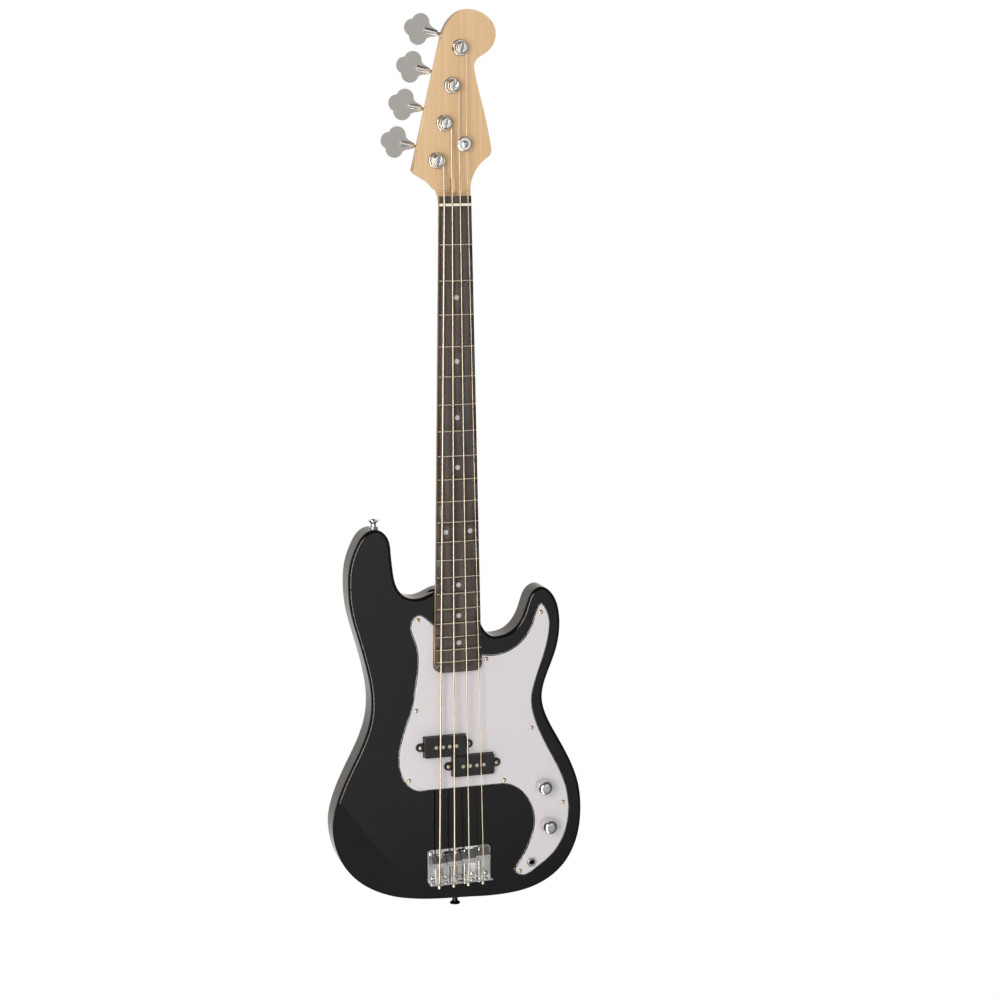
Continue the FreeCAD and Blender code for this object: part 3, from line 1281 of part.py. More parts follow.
def make_bridge():
    """Bent plate, its screws, and for each string a saddle, its screws and a spring."""
    body = doc.addObject("PartDesign::Body", "bridge_blank")
    sketch = new_sketch(body, "bridge_side", role="YZ_Plane")
    front = "%s + Sizes.bridge_front" % BRIDGE
    rear = "%s - Sizes.bridge_rear" % BRIDGE
    inside = "%s + Sizes.bridge_thickness" % rear
    wall_top = "%s - Sizes.bridge_wall_height" % PLATE_TOP
    bound_polygon(sketch, [(FACE, front), (PLATE_TOP, front), (PLATE_TOP, inside),
                           (wall_top, inside), (wall_top, rear), (FACE, rear)])
    slab = padded(body, sketch, "bridge_bend", "Sizes.bridge_width", middle=True)
    front_line = measure(front)

    def front_corner(edge):
        return edge.BoundBox.YLength > 1 and edge.BoundBox.ZMin > front_line - 0.01

    rounded(body, slab, "bridge_corners", front_corner, "Sizes.bridge_corner")
    rear_line = measure(rear)
    cuts = screw_holes(mm.bridge_screw_radius, mm.bridge_screw_length, bridge_screw_places)
    for i in range(4):
        middle = bridge_side(i) - mm.groove_shift
        half = mm.groove_width / 2
        cuts.append(block((middle - half, plate_top - 1, rear_line + mm.bridge_thickness),
                          (middle + half, plate_top + mm.groove_depth, front_line + 1)))
        level = plate_top - mm.intonation_height
        cuts.append(rod(mm.intonation_radius + mm.thread_gap, (intonation_side(i), level, rear_line - 1),
                        (intonation_side(i), level, rear_line + mm.bridge_thickness + 1)))
        hole = string_thickness[i] / 2 + 0.5
        level = plate_top - mm.tail_height
        cuts.append(rod(hole, (bridge_side(i), level, rear_line - 1),
                        (bridge_side(i), level, rear_line + mm.bridge_thickness + 1)))
    keep("bridge_plate", cut_object("bridge_plate", body, Part.makeCompound(cuts)))
    keep("bridge_screws", feature("bridge_screws", copies(bridge_screw, bridge_screw_places)))
    springs = []
    for i, name in enumerate(STRINGS):
        make_saddle(i, name)
        start = rear_line + mm.bridge_thickness
        end = saddle_line(i) - mm.saddle_rear - mm.thread_gap / 2
        springs.append(spring(i, start, end))
    keep("intonation_springs", feature("intonation_springs", Part.makeCompound(springs)))


def make_saddle(i, name):
    """A block saddle with a sloped front, its height screws and its intonation screw."""
    seat = seat_depth(i)
    line = saddle_line(i)
    top = seat - mm.saddle_groove
    place = "(%r * Sizes.bridge_string_spacing)" % (i - 1.5)
    fall = "Sizes.board_radius - sqrt(Sizes.board_radius ^ 2 - %s ^ 2)" % place
    seat_text = "(%s - Sizes.seat_above_body + %s)" % (FACE, fall)
    line_text = "(%s + %d * Sizes.saddle_stagger)" % (BRIDGE, i - 2)
    top_text = "%s - Sizes.saddle_groove" % seat_text
    bottom_text = "%s + Sizes.saddle_depth" % seat_text
    rear_text = "%s - Sizes.saddle_rear" % line_text
    front_text = "%s + Sizes.saddle_front" % line_text
    body = doc.addObject("PartDesign::Body", "saddle_%s_blank" % name)
    sketch = new_sketch(body, "saddle_%s_side" % name, role="YZ_Plane", lift=place)
    bound_polygon(sketch, [
        (top_text, rear_text), (top_text, "%s + Sizes.saddle_top" % line_text),
        ("%s - Sizes.saddle_lip" % bottom_text, front_text), (bottom_text, front_text),
        (bottom_text, rear_text)])
    padded(body, sketch, "saddle_%s_block" % name, "Sizes.saddle_width", middle=True)
    side = bridge_side(i)
    cuts = []
    string_radius = string_thickness[i] / 2
    groove = string_radius + mm.thread_gap
    middle = seat - string_radius
    groove_low = line - mm.saddle_rear - 1
    groove_high = line + mm.saddle_front
    cuts.append(rod(groove, (side, middle, groove_low), (side, middle, groove_high)))
    cuts.append(block((side - groove, top - 2, groove_low), (side + groove, middle, groove_high)))
    # behind the seat the groove falls away with the string
    tail_fall = (plate_top - mm.tail_height) - middle
    tail_run = line - (bridge_line - mm.bridge_rear)
    tail_end = Vector(side, middle + tail_fall * 0.5, line - tail_run * 0.5)
    cuts.append(rod(groove, (side, middle, line), tail_end))
    screws = []
    for way in (-1, 1):
        x = side + way * mm.height_screw_reach
        hole_start = (x, plate_top + 1, line)
        cuts.append(rod(mm.height_screw_radius + mm.thread_gap, hole_start, (x, top - 2, line)))
        grub = rod(mm.height_screw_radius, (x, plate_top, line), (x, top + 0.6, line))
        socket = rod(mm.height_screw_radius * 0.55, (x, top - 1, line), (x, top + 2.4, line))
        screws.append(grub.cut(socket))
    level = plate_top - mm.intonation_height
    across = intonation_side(i)
    thread_hole = mm.intonation_radius + mm.thread_gap
    cuts.append(rod(thread_hole, (across, level, groove_low), (across, level, groove_high + 1)))
    keep("saddle_" + name, cut_object("saddle_" + name, body, Part.makeCompound(cuts)))
    keep("saddle_height_screws_" + name, feature("saddle_height_screws_" + name, Part.makeCompound(screws)))
    rear_line = bridge_line - mm.bridge_rear
    root = (across, level, rear_line)
    shank = rod(mm.intonation_radius, root, (across, level, rear_line + mm.intonation_length))
    head = rod(mm.intonation_head_radius, (across, level, rear_line - mm.intonation_head_length), root)
    arm = mm.intonation_head_radius * 0.6
    slot = mm.intonation_head_radius * 0.14
    below = rear_line - mm.intonation_head_length
    for half_x, half_y in ((arm, slot), (slot, arm)):
        low = (across - half_x, level - half_y, below - 1)
        head = head.cut(block(low, (across + half_x, level + half_y, below + 1)))
    keep("intonation_screw_" + name, feature("intonation_screw_" + name, shank.fuse(head)))


def spring(i, start, end):
    """A wire spring round an intonation screw, square to the wall and to the saddle."""
    turns = 11
    quarter = 4
    wire = mm.spring_wire
    centre = Vector(intonation_side(i), plate_top - mm.intonation_height, 0)
    bend = mm.spring_bend
    low = start + wire + bend
    high = end - wire - bend
    steps = turns * quarter
    climb = (high - low) / steps

    def wound(position):
        angle = math.pi / 2 * position
        across = Vector(math.cos(angle), math.sin(angle), 0) * mm.spring_radius
        return centre + across + UP * (low + climb * position)

    def corner(middle, side):
        inward = Vector(0, side * bend, 0)
        slant = (inward + UP * (-side * bend)) * math.sqrt(0.5)
        return [middle + inward, middle + slant, middle + UP * (-side * bend)]

    first = corner(wound(0) + DOWN * bend, -1)
    last = corner(wound(steps) + UP * bend, 1)
    edges = [Part.LineSegment(first[0] + DOWN * wire, first[0]).toShape(), Part.Arc(*first).toShape()]
    for step in range(steps):
        edges.append(Part.Arc(wound(step), wound(step + 0.5), wound(step + 1)).toShape())
    edges.append(Part.Arc(*reversed(last)).toShape())
    edges.append(Part.LineSegment(last[0], last[0] + UP * wire).toShape())
    print("spring %s: %d turns, least gap %.2f mm" % (STRINGS[i], turns, least_gap(edges, wire / 2)))
    return tube(edges, wire / 2)


# Tuners


def helix_thread():
    """Worm thread about the local X axis, with a tooth facing the wheel at x = 0."""
    pitch = math.pi * mm.gear_module
    turns = round(2 * mm.worm_half / pitch) - 1
    height = pitch * turns
    helix = Part.makeHelix(pitch, height, mm.worm_radius)
    root_half = 0.6 * mm.gear_module
    tip_half = 0.3 * mm.gear_module
    sunk = worm_root - 0.3
    corners = [Vector(sunk, 0, -root_half), Vector(worm_tip, 0, -tip_half),
               Vector(worm_tip, 0, tip_half), Vector(sunk, 0, root_half)]
    profile = Part.makePolygon(corners + corners[:1])
    thread = Part.Wire(helix.Edges).makePipeShell([profile], True, True)
    core = Part.makeCylinder(worm_root, height + 2 * pitch, Vector(0, 0, -pitch))
    worm = core.fuse(thread)
    worm.translate(Vector(0, 0, -height / 2))
    # with a whole number of turns, half of them is whole or ends on the far side
    start_turn = 0 if turns % 2 == 0 else 180
    worm.rotate(Vector(0, 0, 0), UP, start_turn)
    return worm


def key_shape():
    """A key in the tuner's frame: lobed flat, round root, shaft and worm."""
    line = Vector(0, worm_side, gear_level)
    worm = helix_thread()
    # local Z of the worm becomes the key's X, and the thread's start faces the wheel (+Y)
    worm.Placement = Placement(line, Rotation(REAR, UP, ACROSS, "XYZ")).multiply(worm.Placement)
    bearing = mm.tuner_ear_inner
    ear_end = bearing + mm.tuner_ear_thickness
    collar_end = bearing - mm.tuner_gap
    pieces = []
    start = mm.key_start

    def at(x):
        return line + ACROSS * x

    pieces.append(rod(mm.shaft_radius, at(-ear_end), at(start + 1)))
    for side in (-1, 1):
        pieces.append(rod(mm.shaft_radius + 1.2, at(side * mm.worm_half), at(side * collar_end)))
    pieces.append(rod(mm.ferrule_radius, at(start), at(start + mm.ferrule_length)))
    thick = mm.key_thickness
    bottom = line + Vector(0, 0, -thick / 2)

    def lobe(out, side, radius):
        return Part.makeCylinder(radius, thick, bottom + Vector(start + out, side, 0))

    flat = lobe(mm.key_tip_out, 0, mm.key_lobe_radius - 0.5)
    for side in (-1, 1):
        flat = flat.fuse(lobe(mm.key_lobe_out, side * mm.key_lobe_side, mm.key_lobe_radius))
    root = mm.key_root_half
    inner = mm.key_root_out
    wide = mm.key_lobe_side + mm.key_lobe_radius * 0.72
    reach = mm.key_lobe_out - mm.key_lobe_radius * 0.7
    hollow = Vector(inner + (reach - inner) * 0.55, root + 2.6, 0)
    upper = [Vector(inner, root, 0), hollow, Vector(reach, wide, 0)]
    edges = []
    for sign in (1, -1):
        curve = Part.BSplineCurve()
        curve.interpolate([bottom + Vector(start + p.x, sign * p.y, 0) for p in upper])
        edges.append(curve.toShape())
    ends = [edges[0].Vertexes[-1].Point, edges[1].Vertexes[-1].Point]
    middle = bottom + Vector(start + mm.key_lobe_out, 0, 0)
    edges.append(Part.LineSegment(ends[0], middle).toShape())
    edges.append(Part.LineSegment(middle, ends[1]).toShape())
    foot = [bottom + Vector(start + inner, side * root, 0) for side in (-1, 1)]
    edges.append(Part.LineSegment(*foot).toShape())
    web = Part.Face(Part.Wire(Part.__sortEdges__(edges)))
    flat = flat.fuse(web.extrude(Vector(0, 0, thick))).removeSplitter()
    return worm.fuse(pieces + [flat])


def post_shape():
    """A string post in the tuner's frame with the worm wheel on its back end."""
    top = mm.head_thickness + mm.post_above_face
    low = gear_level - mm.gear_width / 2
    shaft = Part.makeCylinder(mm.post_radius, top - low, Vector(0, 0, low))
    rim = [edge for edge in shaft.Edges if abs(edge.BoundBox.ZMin - top) < 0.01]
    shaft = shaft.makeFillet(0.8, rim)
    step = 2 * math.pi / mm.gear_teeth
    tip = gear_radius + 0.8 * mm.gear_module
    root = gear_radius - 1.2 * mm.gear_module
    tip_half = 0.33 * mm.gear_module / tip
    root_half = 0.75 * mm.gear_module / root
    points = []
    for tooth in range(int(mm.gear_teeth)):
        middle = -math.pi / 2 + (tooth + 0.5) * step
        for radius, angle in ((root, middle - root_half), (tip, middle - tip_half),
                              (tip, middle + tip_half), (root, middle + root_half)):
            points.append(Vector(radius * math.cos(angle), radius * math.sin(angle), low))
    wheel = Part.Face(Part.makePolygon(points + points[:1])).extrude(Vector(0, 0, mm.gear_width))
    cap = Part.makeCylinder(3.2, 1.6, Vector(0, 0, low - 1.6))
    post = shaft.fuse([wheel, cap])
    half = mm.post_slot_width / 2
    far = mm.post_radius + 1
    slot = block((-half, -far, top - mm.post_slot_depth), (half, far, top + 1))
    well = Part.makeCylinder(half, mm.post_slot_depth + 4, Vector(0, 0, top - mm.post_slot_depth - 3))
    return post.cut([slot, well])


def plate_shape():
    """A tuner base plate in the tuner's frame with two bearing ears for the worm."""
    thick = mm.tuner_plate_thickness
    half = mm.tuner_plate_half
    low = -mm.tuner_plate_worm_end
    high = mm.tuner_plate_gear_end
    plate = block((-half, low, -thick), (half, high, 0))
    plate = plate.makeFillet(4, [edge for edge in plate.Edges if edge.BoundBox.ZLength > 1])
    ears = []
    ear_low = gear_level - mm.tuner_ear_half
    for side in (-1, 1):
        inner = side * mm.tuner_ear_inner
        outer = side * (mm.tuner_ear_inner + mm.tuner_ear_thickness)
        x_low, x_high = min(inner, outer), max(inner, outer)
        ear = block((x_low, worm_side - mm.tuner_ear_half, ear_low), (x_high, worm_side + mm.tuner_ear_half, 0))
        lowest = [edge for edge in ear.Edges if edge.BoundBox.ZMax < ear_low + 0.01]
        corners = [edge for edge in lowest if edge.BoundBox.XLength > 1]
        ears.append(ear.makeFillet(mm.tuner_ear_half * 0.9, corners))
    plate = plate.fuse(ears)
    line = Vector(0, worm_side, gear_level)
    reach = mm.tuner_ear_inner + mm.tuner_ear_thickness + 1
    cuts = [rod(mm.shaft_radius + mm.tuner_gap, line + ACROSS * -reach, line + ACROSS * reach)]
    cuts.append(Part.makeCylinder(mm.post_radius + mm.tuner_gap, thick + 2, Vector(0, 0, -thick - 1)))
    hole = Part.makeCylinder(mm.tuner_screw_radius + mm.thread_gap, thick + 2)
    for spot in tuner_screw_local:
        cuts.append(hole.translated(spot + Vector(0, 0, -1)))
    return plate.cut(cuts)


def make_tuners():
    """Four tuners: plates, bushings and screws as sets, keys and posts one by one."""
    frames = [tuner_frame(i) for i in range(4)]
    keep("tuner_plates", feature("tuner_plates", copies(plate_shape(), frames)))
    keep("tuner_screws", feature("tuner_screws", copies(tuner_screw, tuner_screw_places)))
    bore = "(Sizes.post_radius + Sizes.tuner_gap)"
    face_level = "Sizes.head_thickness"
    low_level = "%s - Sizes.bushing_depth" % face_level
    top_level = "%s + Sizes.bushing_flange" % face_level
    bushing = turned("tuner_bushing", [
        (bore, low_level), ("Sizes.bushing_radius", low_level),
        ("Sizes.bushing_radius", face_level), ("Sizes.bushing_flange_radius", face_level),
        ("Sizes.bushing_flange_radius", "%s + Sizes.bushing_flange * 0.25" % face_level),
        ("Sizes.bushing_flange_radius - 1.6", top_level), (bore, top_level)])
    doc.recompute()
    keep("tuner_bushings", feature("tuner_bushings", copies(bushing.Shape, frames)))
    key = key_shape()
    post = post_shape()
    for i, name in enumerate(STRINGS):
        keep("tuner_key_" + name, feature("tuner_key_" + name, copies(key, [frames[i]]).Solids[0]))
        keep("tuner_post_" + name, feature("tuner_post_" + name, copies(post, [frames[i]]).Solids[0]))
    hole = "Sizes.tree_screw_radius + Sizes.thread_gap"
    under_disc = "Sizes.tree_collar_height"
    disc_top = "Sizes.tree_collar_height + Sizes.tree_disc"
    tree = turned("string_tree_blank", [
        (hole, "0"), ("Sizes.tree_collar_radius", "0"), ("Sizes.tree_collar_radius", under_disc),
        ("Sizes.tree_radius", under_disc), ("Sizes.tree_radius", "%s + Sizes.tree_disc * 0.4" % under_disc),
        ("Sizes.tree_radius - 1.4", disc_top), (hole, disc_top)])
    tree.Placement = facing(tree_spot, FRONT)
    keep("string_tree", tree)
    keep("string_tree_screw", feature("string_tree_screw", copies(tree_screw, [tree_screw_place])))


# Strings


def string_route(i):
    """Route of a string: ball, saddle, nut, tree where it has one, and the post's turns."""
    radius = string_thickness[i] / 2
    rear_line = bridge_line - mm.bridge_rear
    seat = Vector(bridge_side(i), seat_depth(i) - radius, saddle_line(i))
    hole = Vector(bridge_side(i), plate_top - mm.tail_height, rear_line + mm.bridge_thickness / 2)
    tail_way = (hole - seat).normalize()
    ball_start = rear_line - mm.ball_length - 0.6
    tail = seat + tail_way * ((seat.z - ball_start) / -tail_way.z)
    crest = Vector(nut_side(i), board_top + crown(nut_side(i)) - mm.nut_action - radius, nut_line)
    x, z = post_spot(i)
    wound = mm.post_radius + mm.winding_clear + radius
    level = head_face - mm.bushing_flange - mm.winding_lift - radius
    points = [tail, seat, crest]
    radii = [12.0, 25.0]
    before = crest
    if i >= 2:
        straight = crest.x + (x + wound - crest.x) * mm.tree_up / (z - nut_line)
        clear = mm.tree_collar_radius + mm.winding_clear + radius
        beside = min(straight, tree_spot.x - clear) if i == 2 else max(straight, tree_spot.x + clear)
        under_disc = head_face - mm.tree_collar_height + mm.tree_press + radius
        before = Vector(beside, under_disc, tree_spot.z)
        points.append(before)
        radii.append(25.0)
    # the tangent point on the right of the post, seen from the front
    distance = math.hypot(x - before.x, z - before.z)
    toward = math.atan2(before.z - z, before.x - x)
    touch = toward + math.acos(wound / distance)
    tangent = Vector(x + wound * math.cos(touch), level, z + wound * math.sin(touch))
    points.append(tangent)
    edges = rounded_path(points, radii)
    return {"edges": edges, "radius": radius, "wound": wound, "touch": touch, "level": level,
            "centre": Vector(x, 0, z), "tail": tail, "tail_way": tail_way, "turns": WINDING_TURNS[i]}


WINDING_TURNS = (1.25, 1.5, 2.0, 2.5)
string_routes = [string_route(i) for i in range(4)]


def make_strings():
    """Each string is one tube from its ball end to the last turn on its post."""
    for i, name in enumerate(STRINGS):
        route = string_routes[i]
        radius = route["radius"]
        pitch = 2 * radius + mm.winding_gap
        steps = int(round(route["turns"] * 4))

        def wound_point(position):
            angle = route["touch"] + math.pi / 2 * position
            out = Vector(math.cos(angle), 0, math.sin(angle)) * route["wound"]
            return route["centre"] + out + Vector(0, route["level"] - pitch * position / 4, 0)

        edges = list(route["edges"])
        for step in range(steps):
            quarter = [wound_point(step), wound_point(step + 0.5), wound_point(step + 1)]
            edges.append(Part.Arc(*quarter).toShape())
        gap = least_gap(edges[len(route["edges"]):], radius)
        print("string %s: %.2f turns on its post, least gap %.2f mm" % (name, route["turns"], gap))
        line = tube(edges, radius)
        ball_end = route["tail"] - route["tail_way"] * mm.ball_length
        ball = rod(mm.ball_radius, route["tail"], ball_end)
        keep("string_" + name, feature("string_" + name, line.fuse(ball)))


def make_strap_buttons():
    """Flared buttons on the end of the body and on the long horn, with their screws."""
    waist_low = "Sizes.button_base"
    waist_high = "Sizes.button_base + Sizes.button_waist"
    top = "Sizes.button_base + Sizes.button_waist + Sizes.button_head"
    hole = "Sizes.button_screw_radius + Sizes.thread_gap"
    button = turned("strap_button", [
        (hole, "-Sizes.button_seat"), ("Sizes.button_base_radius", "-Sizes.button_seat"),
        ("Sizes.button_base_radius", "%s - 0.6" % waist_low),
        ("Sizes.button_waist_radius", waist_low), ("Sizes.button_waist_radius", waist_high),
        ("Sizes.button_head_radius", "%s - 1" % top), ("Sizes.button_head_radius", top), (hole, top)])
    doc.recompute()
    keep("strap_buttons", feature("strap_buttons", copies(button.Shape, button_places)))
    keep("strap_button_screws", feature("strap_button_screws", copies(button_screw, button_screw_places)))


make_body()
make_neck()
make_fingerboard()
make_frets_nut_dots()
make_truss_rod()
make_neck_plate()
make_pickguard()
make_pickups()
make_controls()
make_bridge()
make_tuners()
make_strings()
make_strap_buttons()
doc.recompute()

# Nothing is written unless every object recomputed and every sub-part is a valid solid
for obj in doc.Objects:
    if "Invalid" in obj.State or "Error" in obj.State:
        raise RuntimeError("%s did not recompute" % obj.Label)
for name, obj in parts.items():
    shape = obj.Shape
    if shape.isNull() or not shape.isValid() or not shape.Solids:
        raise RuntimeError("%s has no valid solid" % name)

os.makedirs("parts", exist_ok=True)
for name, obj in parts.items():
    obj.Shape.exportStep("parts/%s.step" % name)
print("%d sub-parts" % len(parts))
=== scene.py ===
# %% [markdown]
# # An electric bass guitar
# The solids of the bass come from its drawing, in metres, standing on the strap button with the neck up
# and the strings towards -Y. This lesson gives each piece its finish: lacquer, maple, dark wood, laminate
# and plated metal, and remakes the pieces whose looks need more than the drawing holds.

# %% Load the drawing
import bpy
import json
import math
from mathutils import Matrix, Vector


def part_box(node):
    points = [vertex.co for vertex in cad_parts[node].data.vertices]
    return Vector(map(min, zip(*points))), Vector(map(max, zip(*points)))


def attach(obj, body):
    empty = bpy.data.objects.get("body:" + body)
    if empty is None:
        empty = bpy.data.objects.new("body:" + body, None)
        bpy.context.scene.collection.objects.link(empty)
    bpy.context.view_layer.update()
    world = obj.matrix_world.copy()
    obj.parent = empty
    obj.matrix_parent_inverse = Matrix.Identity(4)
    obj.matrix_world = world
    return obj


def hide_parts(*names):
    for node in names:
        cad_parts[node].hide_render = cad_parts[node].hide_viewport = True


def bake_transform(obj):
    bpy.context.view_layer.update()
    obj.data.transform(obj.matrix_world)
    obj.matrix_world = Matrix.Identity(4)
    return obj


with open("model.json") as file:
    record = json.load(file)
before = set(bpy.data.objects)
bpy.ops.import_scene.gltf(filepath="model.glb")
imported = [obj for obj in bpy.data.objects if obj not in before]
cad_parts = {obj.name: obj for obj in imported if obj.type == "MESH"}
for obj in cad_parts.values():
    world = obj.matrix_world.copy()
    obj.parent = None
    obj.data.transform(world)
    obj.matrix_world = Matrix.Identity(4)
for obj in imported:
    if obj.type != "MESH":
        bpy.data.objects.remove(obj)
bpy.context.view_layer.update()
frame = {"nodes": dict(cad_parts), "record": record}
scene = bpy.context.scene
scene.view_settings.view_transform = "Standard"

# %% [markdown]
# ## Camera
# The bass was photographed from its left and a little above, with a long lens. The three angles and the
# place were found by matching frets, tuners and screws to where they lie in the picture. A camera looks
# along its own -Z, so its axes are right, up and back, as the columns of its rotation.

# %% Camera
CAMERA_TURN = 0.305112
CAMERA_TILT = 0.172137
CAMERA_ROLL = -0.004093
CAMERA_PLACE = Vector((-0.801453, -2.754429, 1.043116))
CAMERA_LENS = 80.2158
SENSOR_WIDTH = 36.0
NEAREST_SEEN = 0.05
turn = Matrix.Rotation(CAMERA_TURN, 3, "Z")
tilt = Matrix.Rotation(CAMERA_TILT, 3, "X")
roll = Matrix.Rotation(CAMERA_ROLL, 3, "Y")
right, forward, up = roll @ tilt @ turn
camera = bpy.data.objects.new("camera", bpy.data.cameras.new("camera"))
camera.data.lens = CAMERA_LENS
camera.data.sensor_width = SENSOR_WIDTH
camera.data.clip_start = NEAREST_SEEN
camera.matrix_world = Matrix.Translation(CAMERA_PLACE) @ Matrix((right, up, -forward)).transposed().to_4x4()
scene.collection.objects.link(camera)
scene.camera = camera
print("camera looks along", [round(v, 4) for v in forward])

# %% [markdown]
# ## Shader maths
# A finish is mostly arithmetic on patterns. Wrapping a node's socket in a small class lets that be written
# as Python sums, and every sum adds its own Math node. One method makes any other node.


# %% Flow, a socket with arithmetic
class Flow:
    """A value that runs along a node tree's links."""

    def __init__(self, tree, socket=None):
        self.tree = tree
        self.socket = socket

    def feed(self, socket, value):
        if isinstance(value, Flow):
            self.tree.links.new(value.socket, socket)
        else:
            socket.default_value = value

    def node(self, kind, settings=None, sockets=None, out=0):
        made = self.tree.nodes.new("ShaderNode" + kind)
        for name, value in (settings or {}).items():
            if name == "stops":
                ramp = made.color_ramp.elements
                while len(ramp) < len(value):
                    ramp.new(0.5)
                for stop, (place, colour) in zip(ramp, value):
                    stop.position = place
                    stop.color = (*colour, 1.0)
            else:
                setattr(made, name, value)
        for name, value in (sockets or {}).items():
            self.feed(made.inputs[name], value)
        return Flow(self.tree, made.outputs[out])

    def sum(self, operation, first, second):
        return self.node("Math", {"operation": operation}, {0: first, 1: second})

    def __add__(self, other):
        return self.sum("ADD", self, other)

    def __radd__(self, other):
        return self.sum("ADD", other, self)

    def __sub__(self, other):
        return self.sum("SUBTRACT", self, other)

    def __rsub__(self, other):
        return self.sum("SUBTRACT", other, self)

    def __mul__(self, other):
        return self.sum("MULTIPLY", self, other)

    def __rmul__(self, other):
        return self.sum("MULTIPLY", other, self)

    def __truediv__(self, other):
        return self.sum("DIVIDE", self, other)

    def __rtruediv__(self, other):
        return self.sum("DIVIDE", other, self)

    def __gt__(self, other):
        return self.sum("GREATER_THAN", self, other)

    def __lt__(self, other):
        return self.sum("LESS_THAN", self, other)


def between(value, low, high):
    """Zero below low, one above high, and smooth from one to the other."""
    return value.node("MapRange", {"interpolation_type": "SMOOTHSTEP"},
                      {"Value": value, "From Min": low, "From Max": high})


def mixed(share, first, second):
    """Two colours mixed by a share, which may run along a link."""
    flow = next(value for value in (share, first, second) if isinstance(value, Flow))
    return flow.node("Mix", {"data_type": "RGBA"}, {0: share, 6: first, 7: second}, out=2)


print("between and mixed are ready")

# %% [markdown]
# ## Studio
# The picture has a plain white ground, so the world is white to the camera. What a polished surface sees
# is different: a warm white wall behind the bass, a grey front that fades to the right and downwards, dark
# sides with one tall bright strip on the left, and a dark ceiling. The strip draws the thin line along the
# left edge of the body, the ceiling makes the slopes of the bridge dark, and both dark sides make the arch
# on the knobs. A soft lamp stands where the strip is, so shadows fall to the right.
# Bearings are measured round the bass from straight ahead, in radians, positive to its left in the picture.
# The front's grey is a slope in bearing and rise, steeper near the floor, and kept between two greys.

# %% World and lamp
WHITE = (1.0, 1.0, 1.0, 1.0)
WARM_WALL = (1.0, 0.94, 0.88, 1.0)
DARK_SIDE = (0.12, 0.12, 0.122, 1.0)
MIDDLE_GREY = (0.45, 0.45, 0.45, 1.0)
BRIGHT_STRIP = (7.5, 7.2, 6.8, 1.0)
STRIP_BEARING = 0.66
STRIP_HALF = 0.32
FRONT_GREY = 0.67
FRONT_BEARING = -0.24
FRONT_RISE = -0.31
GREY_BY_BEARING = 2.0
GREY_BY_RISE = 1.1
GREY_NEAR_FLOOR = 3.2
NEAR_FLOOR = -0.3
DARKEST_FRONT = 0.36
LIGHTEST_FRONT = 0.84
PLAIN_LIGHT = 0.62
world = bpy.data.worlds.new("studio")
scene.world = world
world.use_nodes = True
sky = Flow(world.node_tree)
rays = sky.node("LightPath").socket.node
seen = Flow(world.node_tree, rays.outputs["Is Camera Ray"])
glossy = Flow(world.node_tree, rays.outputs["Is Glossy Ray"])
through = Flow(world.node_tree, rays.outputs["Is Transmission Ray"])
toward = sky.node("TexCoord", out="Generated")
compass = sky.node("SeparateXYZ", None, {0: toward}).socket.node
across = Flow(world.node_tree, compass.outputs["X"])
ahead = Flow(world.node_tree, compass.outputs["Y"])
rise = Flow(world.node_tree, compass.outputs["Z"])
bearing = sky.sum("ARCTAN2", 0 - across, 0 - ahead)
lowest = sky.sum("MAXIMUM", NEAR_FLOOR - rise, 0.0)
slope_across = GREY_BY_BEARING * (bearing - FRONT_BEARING)
slope_up = GREY_BY_RISE * (rise - FRONT_RISE)
fade = FRONT_GREY + slope_across + slope_up - GREY_NEAR_FLOOR * lowest
grey_front = sky.sum("MINIMUM", sky.sum("MAXIMUM", fade, DARKEST_FRONT), LIGHTEST_FRONT)
front = mixed(between(bearing, -0.2, 0.0), grey_front, MIDDLE_GREY)
side = sky.sum("MAXIMUM", between(bearing, 0.5, 0.9), between(0 - bearing, 0.55, 0.85))
sides = mixed(side, front, DARK_SIDE)
wall = sky.sum("MAXIMUM", between(bearing, 1.3, 3.2), between(0 - bearing, 2.1, 2.9))
walls = mixed(wall, sides, WARM_WALL)
off_strip = sky.sum("ABSOLUTE", bearing - STRIP_BEARING, 0.0)
strip = 1 - between(off_strip, STRIP_HALF * 0.4, STRIP_HALF)
lit_walls = mixed(strip, walls, BRIGHT_STRIP)
mirrored = mixed(between(rise, 0.35, 0.6), lit_walls, DARK_SIDE)
shown = mixed(glossy, WHITE, mirrored)
full = sky.sum("MINIMUM", seen + glossy + through, 1.0)
strength = PLAIN_LIGHT + (1.0 - PLAIN_LIGHT) * full
ground = world.node_tree.nodes["Background"]
sky.feed(ground.inputs["Color"], shown)
sky.feed(ground.inputs["Strength"], strength)

LAMP_AIM = Vector((0, 0, 0.6))
lamp = bpy.data.objects.new("soft_lamp", bpy.data.lights.new("soft_lamp", "AREA"))
lamp.data.shape = "RECTANGLE"
lamp.data.size = 0.85
lamp.data.size_y = 2.0
lamp.data.energy = 36.0
lamp.location = (-1.62, -2.06, 0.9)
lamp.rotation_euler = (LAMP_AIM - lamp.location).to_track_quat("-Z", "Y").to_euler()
lamp.visible_glossy = False
scene.collection.objects.link(lamp)
print("one world, one lamp")

# %% [markdown]
# ## Finishes
# Each finish starts as a Principled shader and a place on the piece in metres, so a pattern's scale is
# real: 1000 bands to the metre are a millimetre apart. What is the same all over stays on the shader's
# own sockets; colour, roughness and relief that change run along links.

# %% Starting a finish
COAT_ROUGHNESS = 0.08


def finish(name, metallic=0.0, coat=0.0):
    """A new finish: its material, its shader, and the place on the piece."""
    material = bpy.data.materials.new(name)
    material.use_nodes = True
    shader = material.node_tree.nodes["Principled BSDF"]
    shader.inputs["Metallic"].default_value = metallic
    shader.inputs["Coat Weight"].default_value = coat
    shader.inputs["Coat Roughness"].default_value = COAT_ROUGHNESS
    return material, shader, Flow(material.node_tree).node("TexCoord", out="Object")


